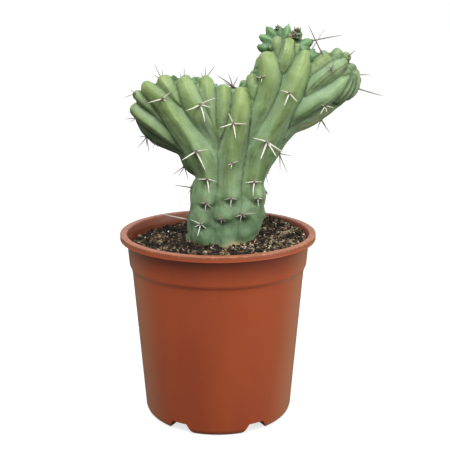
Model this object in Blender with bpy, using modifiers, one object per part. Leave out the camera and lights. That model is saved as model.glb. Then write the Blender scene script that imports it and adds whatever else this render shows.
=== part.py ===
"""Crested blue candle cactus in a round nursery pot.

Metres, +Z up. The origin is on the ground, at the centre of the pot's flat base, and -Y faces the viewer.
Three solids: the moulded pot, the potting soil in it, and the cactus, whose ribs and spines grew as one.
"""

import math
import random

import bmesh
import bpy
from mathutils import Matrix, Vector, noise

MM = 0.001

# The pot: a 17 cm nursery pot with six drainage recesses round its base. The step's edge and foot are given
# as the way in from the collar or out from the body, and the share of the step's height.
POT_HEIGHT = 163 * MM
RIM_RADIUS = 85 * MM
RIM_INNER_RADIUS = 79 * MM
RIM_SKIRT = 4.2 * MM
RIM_ROUNDING = 0.9 * MM
LIP_ROUNDING = 0.7 * MM
COLLAR_TOP_RADIUS = 79.2 * MM
COLLAR_BOTTOM_RADIUS = 77.5 * MM
COLLAR_DEPTH = 26.5 * MM
STEP_HEIGHT = 8.5 * MM
STEP_EDGE = (0.3 * MM, 0.15)
STEP_FOOT = (0.7 * MM, 0.48)
BODY_TOP_RADIUS = 75 * MM
BODY_BOTTOM_RADIUS = 65.4 * MM
CHAMFER_HEIGHT = 4.5 * MM
BASE_RADIUS = 61.6 * MM
BASE_ROUNDING = 1.2 * MM
BASE_BEND = (0.8, 0.55)
WALL = 1.6 * MM
FLOOR = 1.8 * MM
POT_SEGMENTS = 64

RECESS_COUNT = 6
RECESS_HEIGHT = 8.8 * MM
RECESS_DEPTH = 16 * MM
RECESS_WIDTH_BELOW = 24.5 * MM
RECESS_WIDTH_ABOVE = 13.6 * MM
RECESS_REACH_OUT = 6 * MM
BELOW_GROUND = 2 * MM
DRAIN_SLOT = (7 * MM, 9 * MM, 3.4 * MM)
DRAIN_SLOT_SHARE = 0.62

# The soil, a crumbly disc a few millimetres under the rim, with a plain hole for the stem.
SOIL_TOP = 154.8 * MM
SOIL_RADIUS = 77 * MM
SOIL_RISE_RIGHT = 4.2 * MM
SOIL_MOUND = 1.6 * MM
SOIL_MOUND_REACH = 0.45
SOIL_LUMPS = [(0.6, 9 * MM), (0.4, 4.2 * MM)]
SOIL_LUMP = 2.6 * MM
SOIL_RINGS = 13
SEAT_GAP = 0.3 * MM

# The stem's buried end, an oval plug.
STUB_CENTRE = (3.5 * MM, 3 * MM)
STUB_RADIUS = 29.5 * MM
STUB_FLATNESS = 0.76
STUB_TAPER = 0.94
STUB_BOTTOM = 130 * MM
STUB_TOP = 160 * MM
STUB_GAP = 1.2 * MM
STUB_SIDES = 40

# The cactus body. A rib is a row of (x, y, z, half width) in millimetres along its middle, from root to tip.
CORE = {
    "trunk": [(4, 3, 134, 17), (5, 3, 170, 20), (8, 3, 205, 19), (9, 3, 232, 18)],
    "left_limb": [(6, 3, 226, 17), (-14, 2, 246, 15), (-36, 1, 262, 13), (-54, 1, 269, 9)],
    "left_top": [(4, 3, 238, 16), (-12, 1, 262, 15), (-24, 1, 277, 11)],
    "middle": [(10, 3, 230, 16), (14, 3, 255, 14), (18, 4, 270, 10)],
    "right_limb": [(12, 3, 228, 17), (40, 2, 254, 15), (70, 1, 275, 13), (98, 1, 291, 9)],
    "right_top": [(20, 3, 240, 14), (44, 4, 275, 15), (56, 5, 298, 12), (57, 7, 314, 8)],
    "right_fill": [(50, 2, 262, 13), (72, 1, 287, 13), (88, 1, 299, 9)],
    "between_left": [(-1, 1, 205, 9), (-2, -3, 226, 11), (-4, -5, 246, 12)],
    "between_right": [(21, 0, 212, 9), (24, -4, 238, 11), (27, -5, 262, 11)],
    "head": [(52, -2, 288, 9), (53, 0, 306, 9.5), (56, 4, 318, 7.5)],
    "crest_line": [(-61, 2, 268, 6), (-47, 3, 279, 7.5), (-28, 3, 284, 8), (-8, 3, 282, 8), (8, 3, 276, 8),
                   (20, 4, 278, 7.5), (31, 4, 290, 7), (39, 6, 304, 7), (50, 7, 316, 6), (62, 7, 319, 6.5),
                   (76, 4, 311, 7), (92, 3, 307, 7), (104, 1, 301, 6.5), (111, 0, 291, 6)],
}

NEAR, FAR = (0, -1, 0), (0, 1, 0)
LEFT_EDGE, RIGHT_EDGE = (-1, -0.25, -0.35), (1, -0.3, -0.3)

# Ribs that the viewer sees: facing, path, and areoles as (height, spine pattern, length), in millimetres.
NEAR_RIBS = {
    "left_edge": (
        LEFT_EDGE,
        [(-15, 2, 150, 8), (-19, 2, 168, 11), (-16, 2, 183, 9.5), (-14, 2, 192, 9), (-14, 2, 200, 9),
         (-8, 2, 207, 8.5), (-8, 3, 214, 8.5), (-20, 4, 224, 10.5), (-28, 5, 235.5, 8), (-38, 5, 241, 8.5),
         (-50, 4, 246, 9), (-60, 2, 253, 8), (-67, 0, 262, 6)],
        [(183, "star", 9), (200, "side_left", 13), (225, "hang", 13), (247, "hang", 11)],
    ),
    "trunk_left": (
        NEAR,
        [(-7, -3, 150, 8), (-12.5, -7, 164, 10.5), (-13, -9, 171, 10.5), (-9, -10, 190, 10),
         (-8, -12, 210, 10), (-17, -14, 233, 11), (-31, -15, 256, 10), (-45, -14, 275, 9),
         (-54.5, -10, 283.5, 7), (-59.5, -6, 287, 5.5)],
        [(171, "star", 10), (190, "tripod", 8), (210, "tee", 10.5), (234, "tripod", 15), (277, "bow", 13)],
    ),
    "trunk_middle": (
        NEAR,
        [(5, -5, 150, 10), (5, -9, 163, 12), (4, -9, 176, 11), (10, -10, 194, 11), (11, -12, 223, 11),
         (13, -13, 244, 11), (15, -14, 261, 10.5), (19, -10, 276, 9.5), (20.5, -6, 283, 7.5)],
        [(176, "star", 6), (194, "tee", 8), (225, "stub", 6), (258, "tee", 13)],
    ),
    "trunk_right": (
        NEAR,
        [(16, -3, 150, 10), (17, -6, 163, 12), (21, -7, 180, 11.5), (27, -10, 208, 10.5), (36, -13, 236, 11),
         (45, -14, 254, 10.5), (56, -14, 280, 10), (65, -12, 302, 9.3), (70.5, -9, 313.5, 7.8)],
        [(180, "lean", 11), (208, "tee", 9.5), (242, "claw", 16), (284, "claw", 10)],
    ),
    "right_edge": (
        RIGHT_EDGE,
        [(19, 2, 150, 8), (26, 2, 166, 10.5), (31, 1, 180, 9.5), (28, 0, 188, 9), (31, -1, 195, 9.7),
         (30, 0, 206, 9), (34, 0, 219, 9), (42, 0, 231.5, 10), (51, -1, 248, 9), (61, -1, 259, 9.2),
         (74, 0, 264, 9.7), (86, 0, 271, 9.5), (102, 0, 280, 8), (111, 2, 285, 7), (115, 3, 290, 5.5)],
        [(180, "side_right", 6), (195, "star", 7), (219, "side_right", 5), (231, "hang", 11),
         (271, "hang", 11)],
    ),
    "right_low": (
        NEAR,
        [(48, -2, 240, 7), (57, -9, 249, 8), (67, -14, 260, 9), (81, -15, 272, 9), (95, -13, 284, 8),
         (105, -9, 291, 6.5), (110, -6, 295, 5)],
        [(270, "claw", 7.5)],
    ),
    "right_mid": (
        NEAR,
        [(60, -10, 262, 6), (71, -13, 277, 7), (83, -13, 291, 7), (95, -11, 301, 7), (105, -6, 305, 6)],
        [(294, "star", 8)],
    ),
    "right_high": (
        (0.2, -0.8, 0.6),
        [(65, -6, 273, 5), (73, -8, 288, 7), (82, -8, 302, 8), (91, -5, 309, 7.5), (98, -2, 312, 6)],
        [],
    ),
    "head_right": (
        NEAR,
        [(58, -6, 287, 3), (63, -4, 308, 4), (65.5, -2, 321, 4)],
        [],
    ),
    "head_middle": (
        NEAR,
        [(53, -6, 290, 4), (55, -10, 303, 5.5), (58, -9, 314, 6.2), (59, -5, 323.5, 5.5)],
        [],
    ),
    "head_left": (
        NEAR,
        [(50, -5, 303, 4), (49, -6, 315, 5), (49, -4, 325, 4.5)],
        [],
    ),
    "head_low": (
        NEAR,
        [(21, -12, 244, 7), (28, -14, 262, 8.5), (35, -15, 280, 9), (40, -15, 297, 9.3), (41, -11, 309.5, 9)],
        [(296, "tripod", 7)],
    ),
    "saddle": (
        NEAR,
        [(29, -6, 268, 3), (30, -8, 281, 5), (29, -7, 290, 5.5), (28, -4, 295, 5)],
        [(297, "tuft", 5)],
    ),
    "left_inner": (
        NEAR,
        [(3, -12, 236, 6), (2, -14, 257, 8), (3, -13, 271, 8), (5, -9, 281.5, 7.5)],
        [],
    ),
    "left_high": (
        NEAR,
        [(-6, -12, 265, 4), (-8, -12, 277, 6.5), (-10, -10, 286, 7), (-10, -5, 292, 6)],
        [(298, "tuft", 9)],
    ),
    "left_broad": (
        NEAR,
        [(-1, -11, 229, 6), (-6, -14, 248, 8), (-13, -16, 268, 9), (-20, -15, 281, 9), (-26, -11, 289, 7.5)],
        [(271, "wide_tee", 15), (299, "tuft", 8)],
    ),
    "left_yellow": (
        NEAR,
        [(-23, -10, 256, 5), (-34, -12, 272, 7.5), (-41.5, -10, 285, 7.5), (-45.5, -6, 290.5, 6.5)],
        [(299, "tuft", 9)],
    ),
    "left_thin": (
        NEAR,
        [(-35, -8, 245, 5), (-48, -10, 260, 7), (-59, -8, 272, 7), (-66, -4, 280, 6)],
        [(281, "tuft", 8)],
    ),
    "left_low": (
        (-0.3, -1, -0.2),
        [(-22, -2, 234, 7), (-37, -8, 244, 8.5), (-50, -8, 254, 9), (-61, -6, 261, 8), (-68, -3, 265, 6.5)],
        [(266, "tuft", 6)],
    ),
}

# Ribs of the far face, which a rule draws from stem to tip: (x, y, z, half width, reaches the soil).
FAR_TIPS = [
    (-65, 9, 266, 6.5, False),
    (-57, 9, 277, 7, True),
    (-48, 10, 286, 6, False),
    (-38, 10, 291, 4.5, False),
    (-28, 11, 291, 6, False),
    (-18, 11, 290, 4.5, True),
    (-7, 11, 285, 6, False),
    (4, 11, 283, 6, False),
    (13, 12, 282, 6, True),
    (23, 12, 289, 5, False),
    (32, 13, 297, 5, False),
    (37, 14, 308, 5, False),
    (80, 11, 312, 7, False),
    (90, 10, 313, 6, False),
    (99, 9, 314, 5, False),
    (107, 7, 311, 5, True),
    (114, 5, 303, 5.5, False),
    (118, 4, 293, 5.5, False),
]
# The head's far ribs stand round it like a crown of short pointed knobs: the place they leave, each one's tip
# and half width, and by share of the way to the tip the share of the half width.
CROWN_HEART = (57, 8, 306)
CROWN_TIPS = [
    (34.5, 7, 319.5, 4.6),
    (37.5, 11, 328, 4.8),
    (43, 14, 334.5, 4.4),
    (51.5, 16, 336.5, 4.2),
    (59, 15, 337, 4.4),
    (67, 12, 333, 5),
    (79, 7, 323.5, 5.2),
]
CROWN_SHAPE = [(0, 1.2), (0.5, 1.05), (0.78, 0.95), (0.95, 0.4)]

# The long spines that stand clear of the outline, from root to point.
LONG_SPINES = [
    ((79.5, 5, 325), (103.5, 0, 329.5)),
    ((79, 7, 318), (89, 2, 335)),
    ((85.5, -6, 316.5), (73, -14, 338.5)),
    ((119.5, 1, 285.5), (138.5, -5, 280)),
    ((118, 1, 297), (127.5, -3, 297)),
    ((111, 2, 313.5), (114.5, -1, 317.5)),
    ((17, 8, 287), (-1.5, 8, 296.5)),
    ((17, 8, 287), (5, 4, 291)),
    ((12, 9, 288), (17.5, 10, 295.5)),
    ((12, 9, 288), (8.5, 12, 298)),
    ((-27, 5, 172), (-51.5, 12, 175.5)),
    ((-74, 2, 265), (-82, -2, 271)),
    ((-72, 2, 284), (-82, -2, 281)),
    ((-49, 13, 291), (-54, 15, 302)),
    ((-27, 13, 296), (-26, 16, 306)),
]

# Where each spine of a cluster points, in degrees about the cluster's outward direction (0 right, 90 up),
# and its share of the cluster's length.
SPINE_PATTERNS = {
    "tee": [(182, 1), (358, 1), (270, 1.2)],
    "wide_tee": [(203, 1), (10, 1.1), (282, 1.05), (343, 0.75)],
    "tripod": [(213, 1), (12, 0.9), (297, 1.15)],
    "claw": [(166, 0.9), (334, 1), (248, 1), (303, 1)],
    "bow": [(193, 1), (42, 0.75), (300, 0.4)],
    "lean": [(200, 0.75), (4, 1.3), (262, 0.7), (325, 0.5)],
    "star": [(197, 0.8), (333, 0.9), (256, 1), (60, 0.6), (140, 0.8)],
    "hang": [(226, 1), (256, 0.95), (286, 1), (170, 0.5)],
    "side_left": [(173, 1.2), (222, 0.6), (265, 0.7)],
    "side_right": [(352, 1), (318, 0.9), (262, 0.8)],
    "stub": [(35, 1), (265, 0.9)],
    "tuft": [(60, 1), (118, 1), (175, 0.7), (10, 0.7)],
}
PATTERNS_BEHIND = ["tee", "claw", "star", "tripod", "wide_tee"]
LENGTH_BEHIND = 11
SPINE_ROOT_RADIUS = 0.65 * MM
SPINE_SUNK = 1.5 * MM
SEED = 17

# Degrees: how far a spine leans from its cluster's outward direction, and how much it strays at random.
SPINE_LEAN = 62
TUFT_LEAN = 28
SPINE_STRAY = 7

# Millimetres: the ring that a cluster's spines stand on, the way between clusters, and each one's low chin.
CLUSTER_RADIUS = 1.5
AREOLE_SPACING = 24
LOWEST_AREOLE = 22
HIGHEST_AREOLE = 8
CHIN_HEIGHT = 1.3
CHIN_REACH = 6

# The far face's fan: the point that its ribs leave, and by share of the way the bulge and the widening.
FAR_FAN_ROOT = (12, 12, 224)
FAR_FAN = [(0.35, 3, 1.1), (0.62, 5, 1.15), (0.86, 3, 1.1)]
FAR_START = (0.16, 2)
# Up the back of the stem: share of the rib's spread, way to the right, y, z and half width.
FAR_STEM_SPREAD = 0.2
FAR_STEM = [(0.6, 0, 4, 150, 7.5), (0.9, 0, 12, 167, 10.5), (1, 2, 14, 188, 10), (1, 5, 14, 208, 10)]
TIP_SHARE = 0.8

PATH_STEP = 3
BODY_VOXEL = 1.3 * MM
BODY_SMOOTHING = 3
BODY_TRIANGLES = 6600


def clear_scene():
    for old in list(bpy.data.objects):
        bpy.data.objects.remove(old, do_unlink=True)


def new_collection(name, hidden=False):
    group = bpy.data.collections.new(name)
    group.hide_render = hidden
    bpy.context.scene.collection.children.link(group)
    return group


def material(name, colour, roughness):
    made = bpy.data.materials.new(name)
    made.use_nodes = True
    shader = made.node_tree.nodes["Principled BSDF"]
    shader.inputs["Base Color"].default_value = (*colour, 1)
    shader.inputs["Roughness"].default_value = roughness
    shader.inputs["Metallic"].default_value = 0
    return made


def add_object(name, data, group):
    made = bpy.data.objects.new(name, data)
    group.objects.link(made)
    return made


def mesh_of(made, name):
    """A new mesh with what the bmesh holds. The bmesh is freed."""
    mesh = bpy.data.meshes.new(name)
    made.to_mesh(mesh)
    made.free()
    return mesh


def as_mesh(source, name, group):
    """A mesh object with what source evaluates to, in source's place. Source is removed."""
    graph = bpy.context.evaluated_depsgraph_get()
    mesh = bpy.data.meshes.new_from_object(source.evaluated_get(graph))
    mesh.transform(source.matrix_world)
    bpy.data.objects.remove(source, do_unlink=True)
    mesh.name = name
    return add_object(name, mesh, group)


def join(pieces, name, group):
    """One mesh object made of the pieces' meshes. The pieces are removed."""
    joined = bmesh.new()
    for piece in pieces:
        piece.data.transform(piece.matrix_world)
        joined.from_mesh(piece.data)
        bpy.data.objects.remove(piece, do_unlink=True)
    return add_object(name, mesh_of(joined, name), group)


def smooth_shading(mesh, sharp_degrees):
    mesh.shade_smooth()
    mesh.set_sharp_from_angle(angle=math.radians(sharp_degrees))


# Curves through points


def through(points, step=PATH_STEP):
    """Points every step along a smooth curve through the given ones, whose last number is a half width."""
    ends = [2 * Vector(points[0]) - Vector(points[1]), 2 * Vector(points[-1]) - Vector(points[-2])]
    knots = [ends[0], *map(Vector, points), ends[1]]
    path = []
    for a, b, c, d in zip(knots, knots[1:], knots[2:], knots[3:]):
        count = max(2, round((c - b).length / step))
        for i in range(count):
            t = i / count
            bend = (2 * a - 5 * b + 4 * c - d) * t**2 + (3 * b - a - 3 * c + d) * t**3
            path.append((2 * b + (c - a) * t + bend) / 2)
    return [*path, knots[-2]]


def place_at(path, height):
    """The point of the path whose height is nearest, its half width, and the path's direction there."""
    i = min(range(len(path)), key=lambda k: abs(path[k].z - height))
    before, after = path[max(i - 1, 0)], path[min(i + 1, len(path) - 1)]
    return path[i].xyz, path[i].w, (after.xyz - before.xyz).normalized()


def swollen(path, heights):
    """The path, a little thicker round each areole, as the low chins of a cactus rib are."""
    centres = [place_at(path, height)[0] for height in heights]
    for point in path:
        nearest = min(((point.xyz - c).length for c in centres), default=99)
        point.w += CHIN_HEIGHT * math.exp(-((nearest / CHIN_REACH) ** 2))
    return path


def rounded_tip(path, steps=4):
    """The path carried on by a round end, nearly as long as the last half width."""
    tip, before = path[-1], path[-2]
    along = (tip.xyz - before.xyz).normalized()
    end = []
    for i in range(1, steps + 1):
        share = math.sin(math.pi / 2 * i / steps)
        place = tip.xyz + along * (TIP_SHARE * tip.w * share)
        end.append(Vector((*place, max(tip.w * math.sqrt(1 - share**2), 0.05))))
    return [*path, *end]


def tube(name, path, group):
    """A round rod that follows the path, as a mesh."""
    curve = bpy.data.curves.new(name, "CURVE")
    curve.dimensions = "3D"
    curve.bevel_depth = MM
    curve.bevel_resolution = 4
    curve.use_fill_caps = True
    spline = curve.splines.new("POLY")
    spline.points.add(len(path) - 1)
    for point, place in zip(spline.points, path):
        point.co = (*(place.xyz * MM), 1)
        point.radius = place.w
    return as_mesh(add_object(name, curve, group), name, group)


# The cactus


def far_rib(tip, half_width, reaches_soil):
    """A far rib's path, up the back of the stem and out along the fan to its tip."""
    fan = Vector(FAR_FAN_ROOT)
    out = Vector(tip) - fan
    if reaches_soil:
        x = STUB_CENTRE[0] / MM + FAR_STEM_SPREAD * out.x
        path = [(spread * x + right, *rest) for spread, right, *rest in FAR_STEM]
    else:
        share, y = FAR_START
        path = [(fan.x + share * out.x, y, fan.z + share * out.z, half_width)]
    for share, bulge, widening in FAR_FAN:
        place = fan + out * share
        path.append((place.x, place.y + bulge, place.z, widening * half_width))
    return [*path, (*tip, half_width)]


def crown_rib(tip, half_width):
    """A short rib of the head's crown, from the head's heart to its tip."""
    heart = Vector(CROWN_HEART)
    return [(*heart.lerp(Vector(tip), share), half_width * width) for share, width in CROWN_SHAPE]


def body_parts(group):
    """The rods whose union is the cactus body, and its areoles as (place, outward, pattern, length)."""
    rods, areoles = [], []
    for name, points in CORE.items():
        rods.append(tube(name, rounded_tip(through(points)), group))
    for name, (facing, points, marks) in NEAR_RIBS.items():
        path = through(points)
        for height, pattern, length in marks:
            areoles.append(areole(path, height, facing, pattern, length))
        rods.append(tube(name, rounded_tip(swollen(path, [m[0] for m in marks if m[1] != "tuft"])), group))
    for number, (*tip, half_width, reaches_soil) in enumerate(FAR_TIPS):
        path = through(far_rib(tip, half_width, reaches_soil))
        heights = areole_heights(path, number, reaches_soil)
        for height in heights:
            pattern = PATTERNS_BEHIND[(number + round(height)) % len(PATTERNS_BEHIND)]
            areoles.append(areole(path, height, FAR, pattern, LENGTH_BEHIND))
        rods.append(tube(f"far_{number}", rounded_tip(swollen(path, heights)), group))
    for number, (*tip, half_width) in enumerate(CROWN_TIPS):
        rods.append(tube(f"crown_{number}", rounded_tip(through(crown_rib(tip, half_width))), group))
    return rods, areoles


def areole_heights(path, number, reaches_soil):
    """Heights of a far rib's areoles: evenly up a rib that reaches the soil, and one on any other."""
    lowest, highest = path[0].z, path[-1].z
    row = number % 3
    if not reaches_soil:
        return [lowest + (highest - lowest) * (3 + row) / 6]
    count = int((highest - lowest - LOWEST_AREOLE - HIGHEST_AREOLE) // AREOLE_SPACING) + 1
    return [lowest + LOWEST_AREOLE + 4 * row + AREOLE_SPACING * i for i in range(count)]


def areole(path, height, facing, pattern, length):
    """Where a spine cluster sits on a rib: on the side that faces out, or at the very tip for a tuft."""
    place, half_width, along = place_at(path, height)
    if pattern == "tuft":
        return path[-1].xyz + along * (0.55 * path[-1].w), along, pattern, length
    out = Vector(facing) - along * along.dot(Vector(facing))
    out.normalize()
    return place + out * half_width, out, pattern, length


def stem_plug(name, bottom, top, low_radius, high_radius, group):
    """An upright oval plug at the stem's place."""
    made = bmesh.new()
    bmesh.ops.create_cone(
        made, cap_ends=True, segments=STUB_SIDES, radius1=low_radius, radius2=high_radius, depth=top - bottom
    )
    bmesh.ops.scale(made, vec=(1, STUB_FLATNESS, 1), verts=made.verts)
    bmesh.ops.translate(made, vec=(*STUB_CENTRE, (top + bottom) / 2), verts=made.verts)
    return add_object(name, mesh_of(made, name), group)


def spine(name, root, direction, length, group):
    """A three-sided needle from just under the skin to its point."""
    made = bmesh.new()
    bmesh.ops.create_cone(
        made, cap_ends=True, segments=3, radius1=SPINE_ROOT_RADIUS, radius2=0, depth=length + SPINE_SUNK
    )
    needle = add_object(name, mesh_of(made, name), group)
    needle.rotation_mode = "QUATERNION"
    needle.rotation_quaternion = direction.to_track_quat("Z", "Y")
    needle.location = root + direction * ((length + SPINE_SUNK) / 2 - SPINE_SUNK)
    return needle


def spines(body, areoles, group):
    """Every needle of the plant, with its root seated on the body's skin."""
    draw = random.Random(SEED)

    def on_skin(place):
        return body.closest_point_on_mesh(Vector(place) * MM)[1]

    for number, (place, out, pattern, length) in enumerate(areoles):
        lean = math.radians(TUFT_LEAN if pattern == "tuft" else SPINE_LEAN)
        for turn, share in SPINE_PATTERNS[pattern]:
            angle = math.radians(turn + draw.uniform(-SPINE_STRAY, SPINE_STRAY))
            side = Vector((math.cos(angle), 0, math.sin(angle)))
            side -= out * side.dot(out)
            if side.length < 0.3:
                side += Vector((0, math.copysign(0.6, out.y or -1), 0))
            side.normalize()
            direction = (out * math.cos(lean) + side * math.sin(lean)).normalized()
            root = on_skin(place + side * CLUSTER_RADIUS)
            spine(f"spine_{number}_{turn}", root, direction, share * length * MM, group)
    for number, (root, point) in enumerate(LONG_SPINES):
        reach = Vector(point) * MM - on_skin(root)
        spine(f"long_spine_{number}", on_skin(root), reach.normalized(), reach.length, group)


def cactus(group, skin):
    """The whole plant as one closed body."""
    rods, areoles = body_parts(group)
    stub = stem_plug("stub", STUB_BOTTOM, STUB_TOP, STUB_TAPER * STUB_RADIUS, STUB_RADIUS, group)
    body = join([*rods, stub], "crested_cactus", group)
    remesh = body.modifiers.new("grown_together", "REMESH")
    remesh.mode = "VOXEL"
    remesh.voxel_size = BODY_VOXEL
    smooth = body.modifiers.new("smooth_skin", "SMOOTH")
    smooth.iterations = BODY_SMOOTHING
    body = as_mesh(body, "crested_cactus", group)
    fewer = body.modifiers.new("fewer_faces", "DECIMATE")
    fewer.use_collapse_triangulate = True
    fewer.ratio = BODY_TRIANGLES / (2 * len(body.data.polygons))
    body = as_mesh(body, "crested_cactus", group)
    needles = new_collection("needles")
    spines(body, areoles, needles)
    union = body.modifiers.new("spines", "BOOLEAN")
    union.operand_type = "COLLECTION"
    union.collection = needles
    union.operation = "UNION"
    union.solver = "MANIFOLD"
    body = as_mesh(body, "crested_cactus", group)
    for needle in list(needles.objects):
        bpy.data.objects.remove(needle, do_unlink=True)
    bpy.data.collections.remove(needles)
    body.data.materials.clear()
    body.data.materials.append(skin)
    smooth_shading(body.data, 50)
    return body


# The pot


def turned(name, profile, group):
    """A solid of revolution about Z. The profile's (radius, height) points run from its top to its bottom."""
    mesh = bpy.data.meshes.new(name)
    points = [(radius, 0, height) for radius, height in profile]
    mesh.from_pydata(points, [(i, i + 1) for i in range(len(points) - 1)], [])
    made = add_object(name, mesh, group)
    screw = made.modifiers.new("turn", "SCREW")
    screw.steps = POT_SEGMENTS
    screw.render_steps = POT_SEGMENTS
    screw.use_merge_vertices = True
    screw.merge_threshold = 0.00001
    return as_mesh(made, name, group)


def arc(centre, radius, start, end, steps):
    """Points round a corner of a profile, from one angle to another in degrees."""
    angles = [math.radians(start + (end - start) * i / steps) for i in range(steps + 1)]
    return [(centre[0] + radius * math.cos(a), centre[1] + radius * math.sin(a)) for a in angles]


def pot_outline():
    """The pot's outside from rim to base."""
    skirt = POT_HEIGHT - RIM_SKIRT
    collar_end = POT_HEIGHT - COLLAR_DEPTH
    return [
        (0, POT_HEIGHT),
        *arc((RIM_RADIUS - RIM_ROUNDING, POT_HEIGHT - RIM_ROUNDING), RIM_ROUNDING, 90, 0, 3),
        *arc((RIM_RADIUS - LIP_ROUNDING, skirt + LIP_ROUNDING), LIP_ROUNDING, 0, -90, 1),
        (COLLAR_TOP_RADIUS, skirt),
        (COLLAR_BOTTOM_RADIUS, collar_end),
        (COLLAR_BOTTOM_RADIUS - STEP_EDGE[0], collar_end - STEP_EDGE[1] * STEP_HEIGHT),
        (BODY_TOP_RADIUS + STEP_FOOT[0], collar_end - STEP_FOOT[1] * STEP_HEIGHT),
        (BODY_TOP_RADIUS, collar_end - STEP_HEIGHT),
        (BODY_BOTTOM_RADIUS, CHAMFER_HEIGHT),
        (BODY_BOTTOM_RADIUS - BASE_BEND[0] * BASE_ROUNDING, BASE_BEND[1] * CHAMFER_HEIGHT),
        (BASE_RADIUS + BASE_ROUNDING, BASE_BEND[0] * BASE_ROUNDING),
        (BASE_RADIUS, 0),
        (0, 0),
    ]


def pot_inside(gap=0):
    """The pot's inside from rim to floor, or that of what fills it when gap is more than nothing."""
    collar_end = POT_HEIGHT - COLLAR_DEPTH
    slope = (BODY_TOP_RADIUS - BODY_BOTTOM_RADIUS) / (collar_end - STEP_HEIGHT - CHAMFER_HEIGHT)
    return [
        (RIM_INNER_RADIUS + LIP_ROUNDING - gap, POT_HEIGHT),
        (RIM_INNER_RADIUS - gap, POT_HEIGHT - LIP_ROUNDING),
        (COLLAR_TOP_RADIUS - WALL - gap, POT_HEIGHT - RIM_SKIRT - WALL),
        (COLLAR_BOTTOM_RADIUS - WALL - gap, collar_end),
        (BODY_TOP_RADIUS - WALL - gap, collar_end - STEP_HEIGHT),
        (BODY_BOTTOM_RADIUS - WALL + slope * FLOOR - gap, CHAMFER_HEIGHT + FLOOR),
        (BASE_RADIUS - gap, FLOOR + gap),
        (0, FLOOR + gap),
    ]


def recesses(name, grow, group):
    """The cuts through the pot's foot, grown on all sides. A foot stands in the middle of the front."""
    made = bmesh.new()
    height = RECESS_HEIGHT + grow
    below, above = RECESS_WIDTH_BELOW / 2 + grow, RECESS_WIDTH_ABOVE / 2 + grow
    below += (below - above) * BELOW_GROUND / height
    inner, outer = BODY_BOTTOM_RADIUS - RECESS_DEPTH - grow, BODY_BOTTOM_RADIUS + RECESS_REACH_OUT
    for number in range(RECESS_COUNT):
        turn = 2 * math.pi * (number + 0.5) / RECESS_COUNT
        corners = bmesh.ops.create_cube(made, size=1)["verts"]
        for corner in corners:
            x, y, z = corner.co
            corner.co = (
                math.copysign(above if z > 0 else below, x),
                -(outer if y < 0 else inner),
                height if z > 0 else -BELOW_GROUND,
            )
        bmesh.ops.rotate(made, matrix=Matrix.Rotation(turn, 3, "Z"), verts=corners)
    return add_object(name, mesh_of(made, name), group)


def drain_slots(group):
    """An open slot in the roof of each recess."""
    made = bmesh.new()
    across, along, high = DRAIN_SLOT
    reach = BODY_BOTTOM_RADIUS - DRAIN_SLOT_SHARE * RECESS_DEPTH
    for number in range(RECESS_COUNT):
        turn = 2 * math.pi * (number + 0.5) / RECESS_COUNT
        corners = bmesh.ops.create_cube(made, size=1)["verts"]
        bmesh.ops.scale(made, vec=(across, along, high), verts=corners)
        bmesh.ops.translate(made, vec=(0, -reach, RECESS_HEIGHT + WALL / 2), verts=corners)
        bmesh.ops.rotate(made, matrix=Matrix.Rotation(turn, 3, "Z"), verts=corners)
    return add_object("drain_slots", mesh_of(made, "drain_slots"), group)


def cut(target, cutter, name):
    """Cuts the cutter out of the target with a modifier that stays."""
    cutter.hide_render = True
    cutter.display_type = "WIRE"
    boolean = target.modifiers.new(name, "BOOLEAN")
    boolean.operation = "DIFFERENCE"
    boolean.object = cutter


def nursery_pot(group, cutters, plastic):
    """The moulded pot: a thin wall with a flat lip, and six feet left between its recesses."""
    pot = turned("nursery_pot", pot_outline(), group)
    above = POT_HEIGHT + RIM_SKIRT
    top = [(0, above), (RIM_INNER_RADIUS + LIP_ROUNDING, above)]
    inside = turned("pot_cavity", [*top, *pot_inside()], cutters)
    cut(inside, recesses("pot_recess_roofs", WALL, cutters), "recess roofs")
    cut(pot, inside, "cavity")
    cut(pot, recesses("pot_recesses", 0, cutters), "recesses")
    cut(pot, drain_slots(cutters), "drain slots")
    pot.data.materials.append(plastic)
    smooth_shading(pot.data, 35)
    return pot


# The soil


def soil_height(x, y):
    """How high the crumbly surface stands: a mound at the stem, lumps, and a rise on the right."""
    reach = math.hypot(x, y) / RIM_RADIUS
    mound = SOIL_MOUND * math.exp(-((reach / SOIL_MOUND_REACH) ** 4))
    rise = SOIL_RISE_RIGHT * x / RIM_RADIUS
    lumps = sum(share * noise.noise(Vector((x, y, share)) / size) for share, size in SOIL_LUMPS)
    return SOIL_TOP + mound + rise + SOIL_LUMP * lumps


def soil_radius(height):
    """How far out the soil reaches, near its surface, where the collar's wall stops it."""
    below, above = POT_HEIGHT - COLLAR_DEPTH, POT_HEIGHT - RIM_SKIRT - WALL
    share = (height - below) / (above - below)
    outside = (1 - share) * COLLAR_BOTTOM_RADIUS + share * COLLAR_TOP_RADIUS
    return outside - WALL - SEAT_GAP


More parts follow.
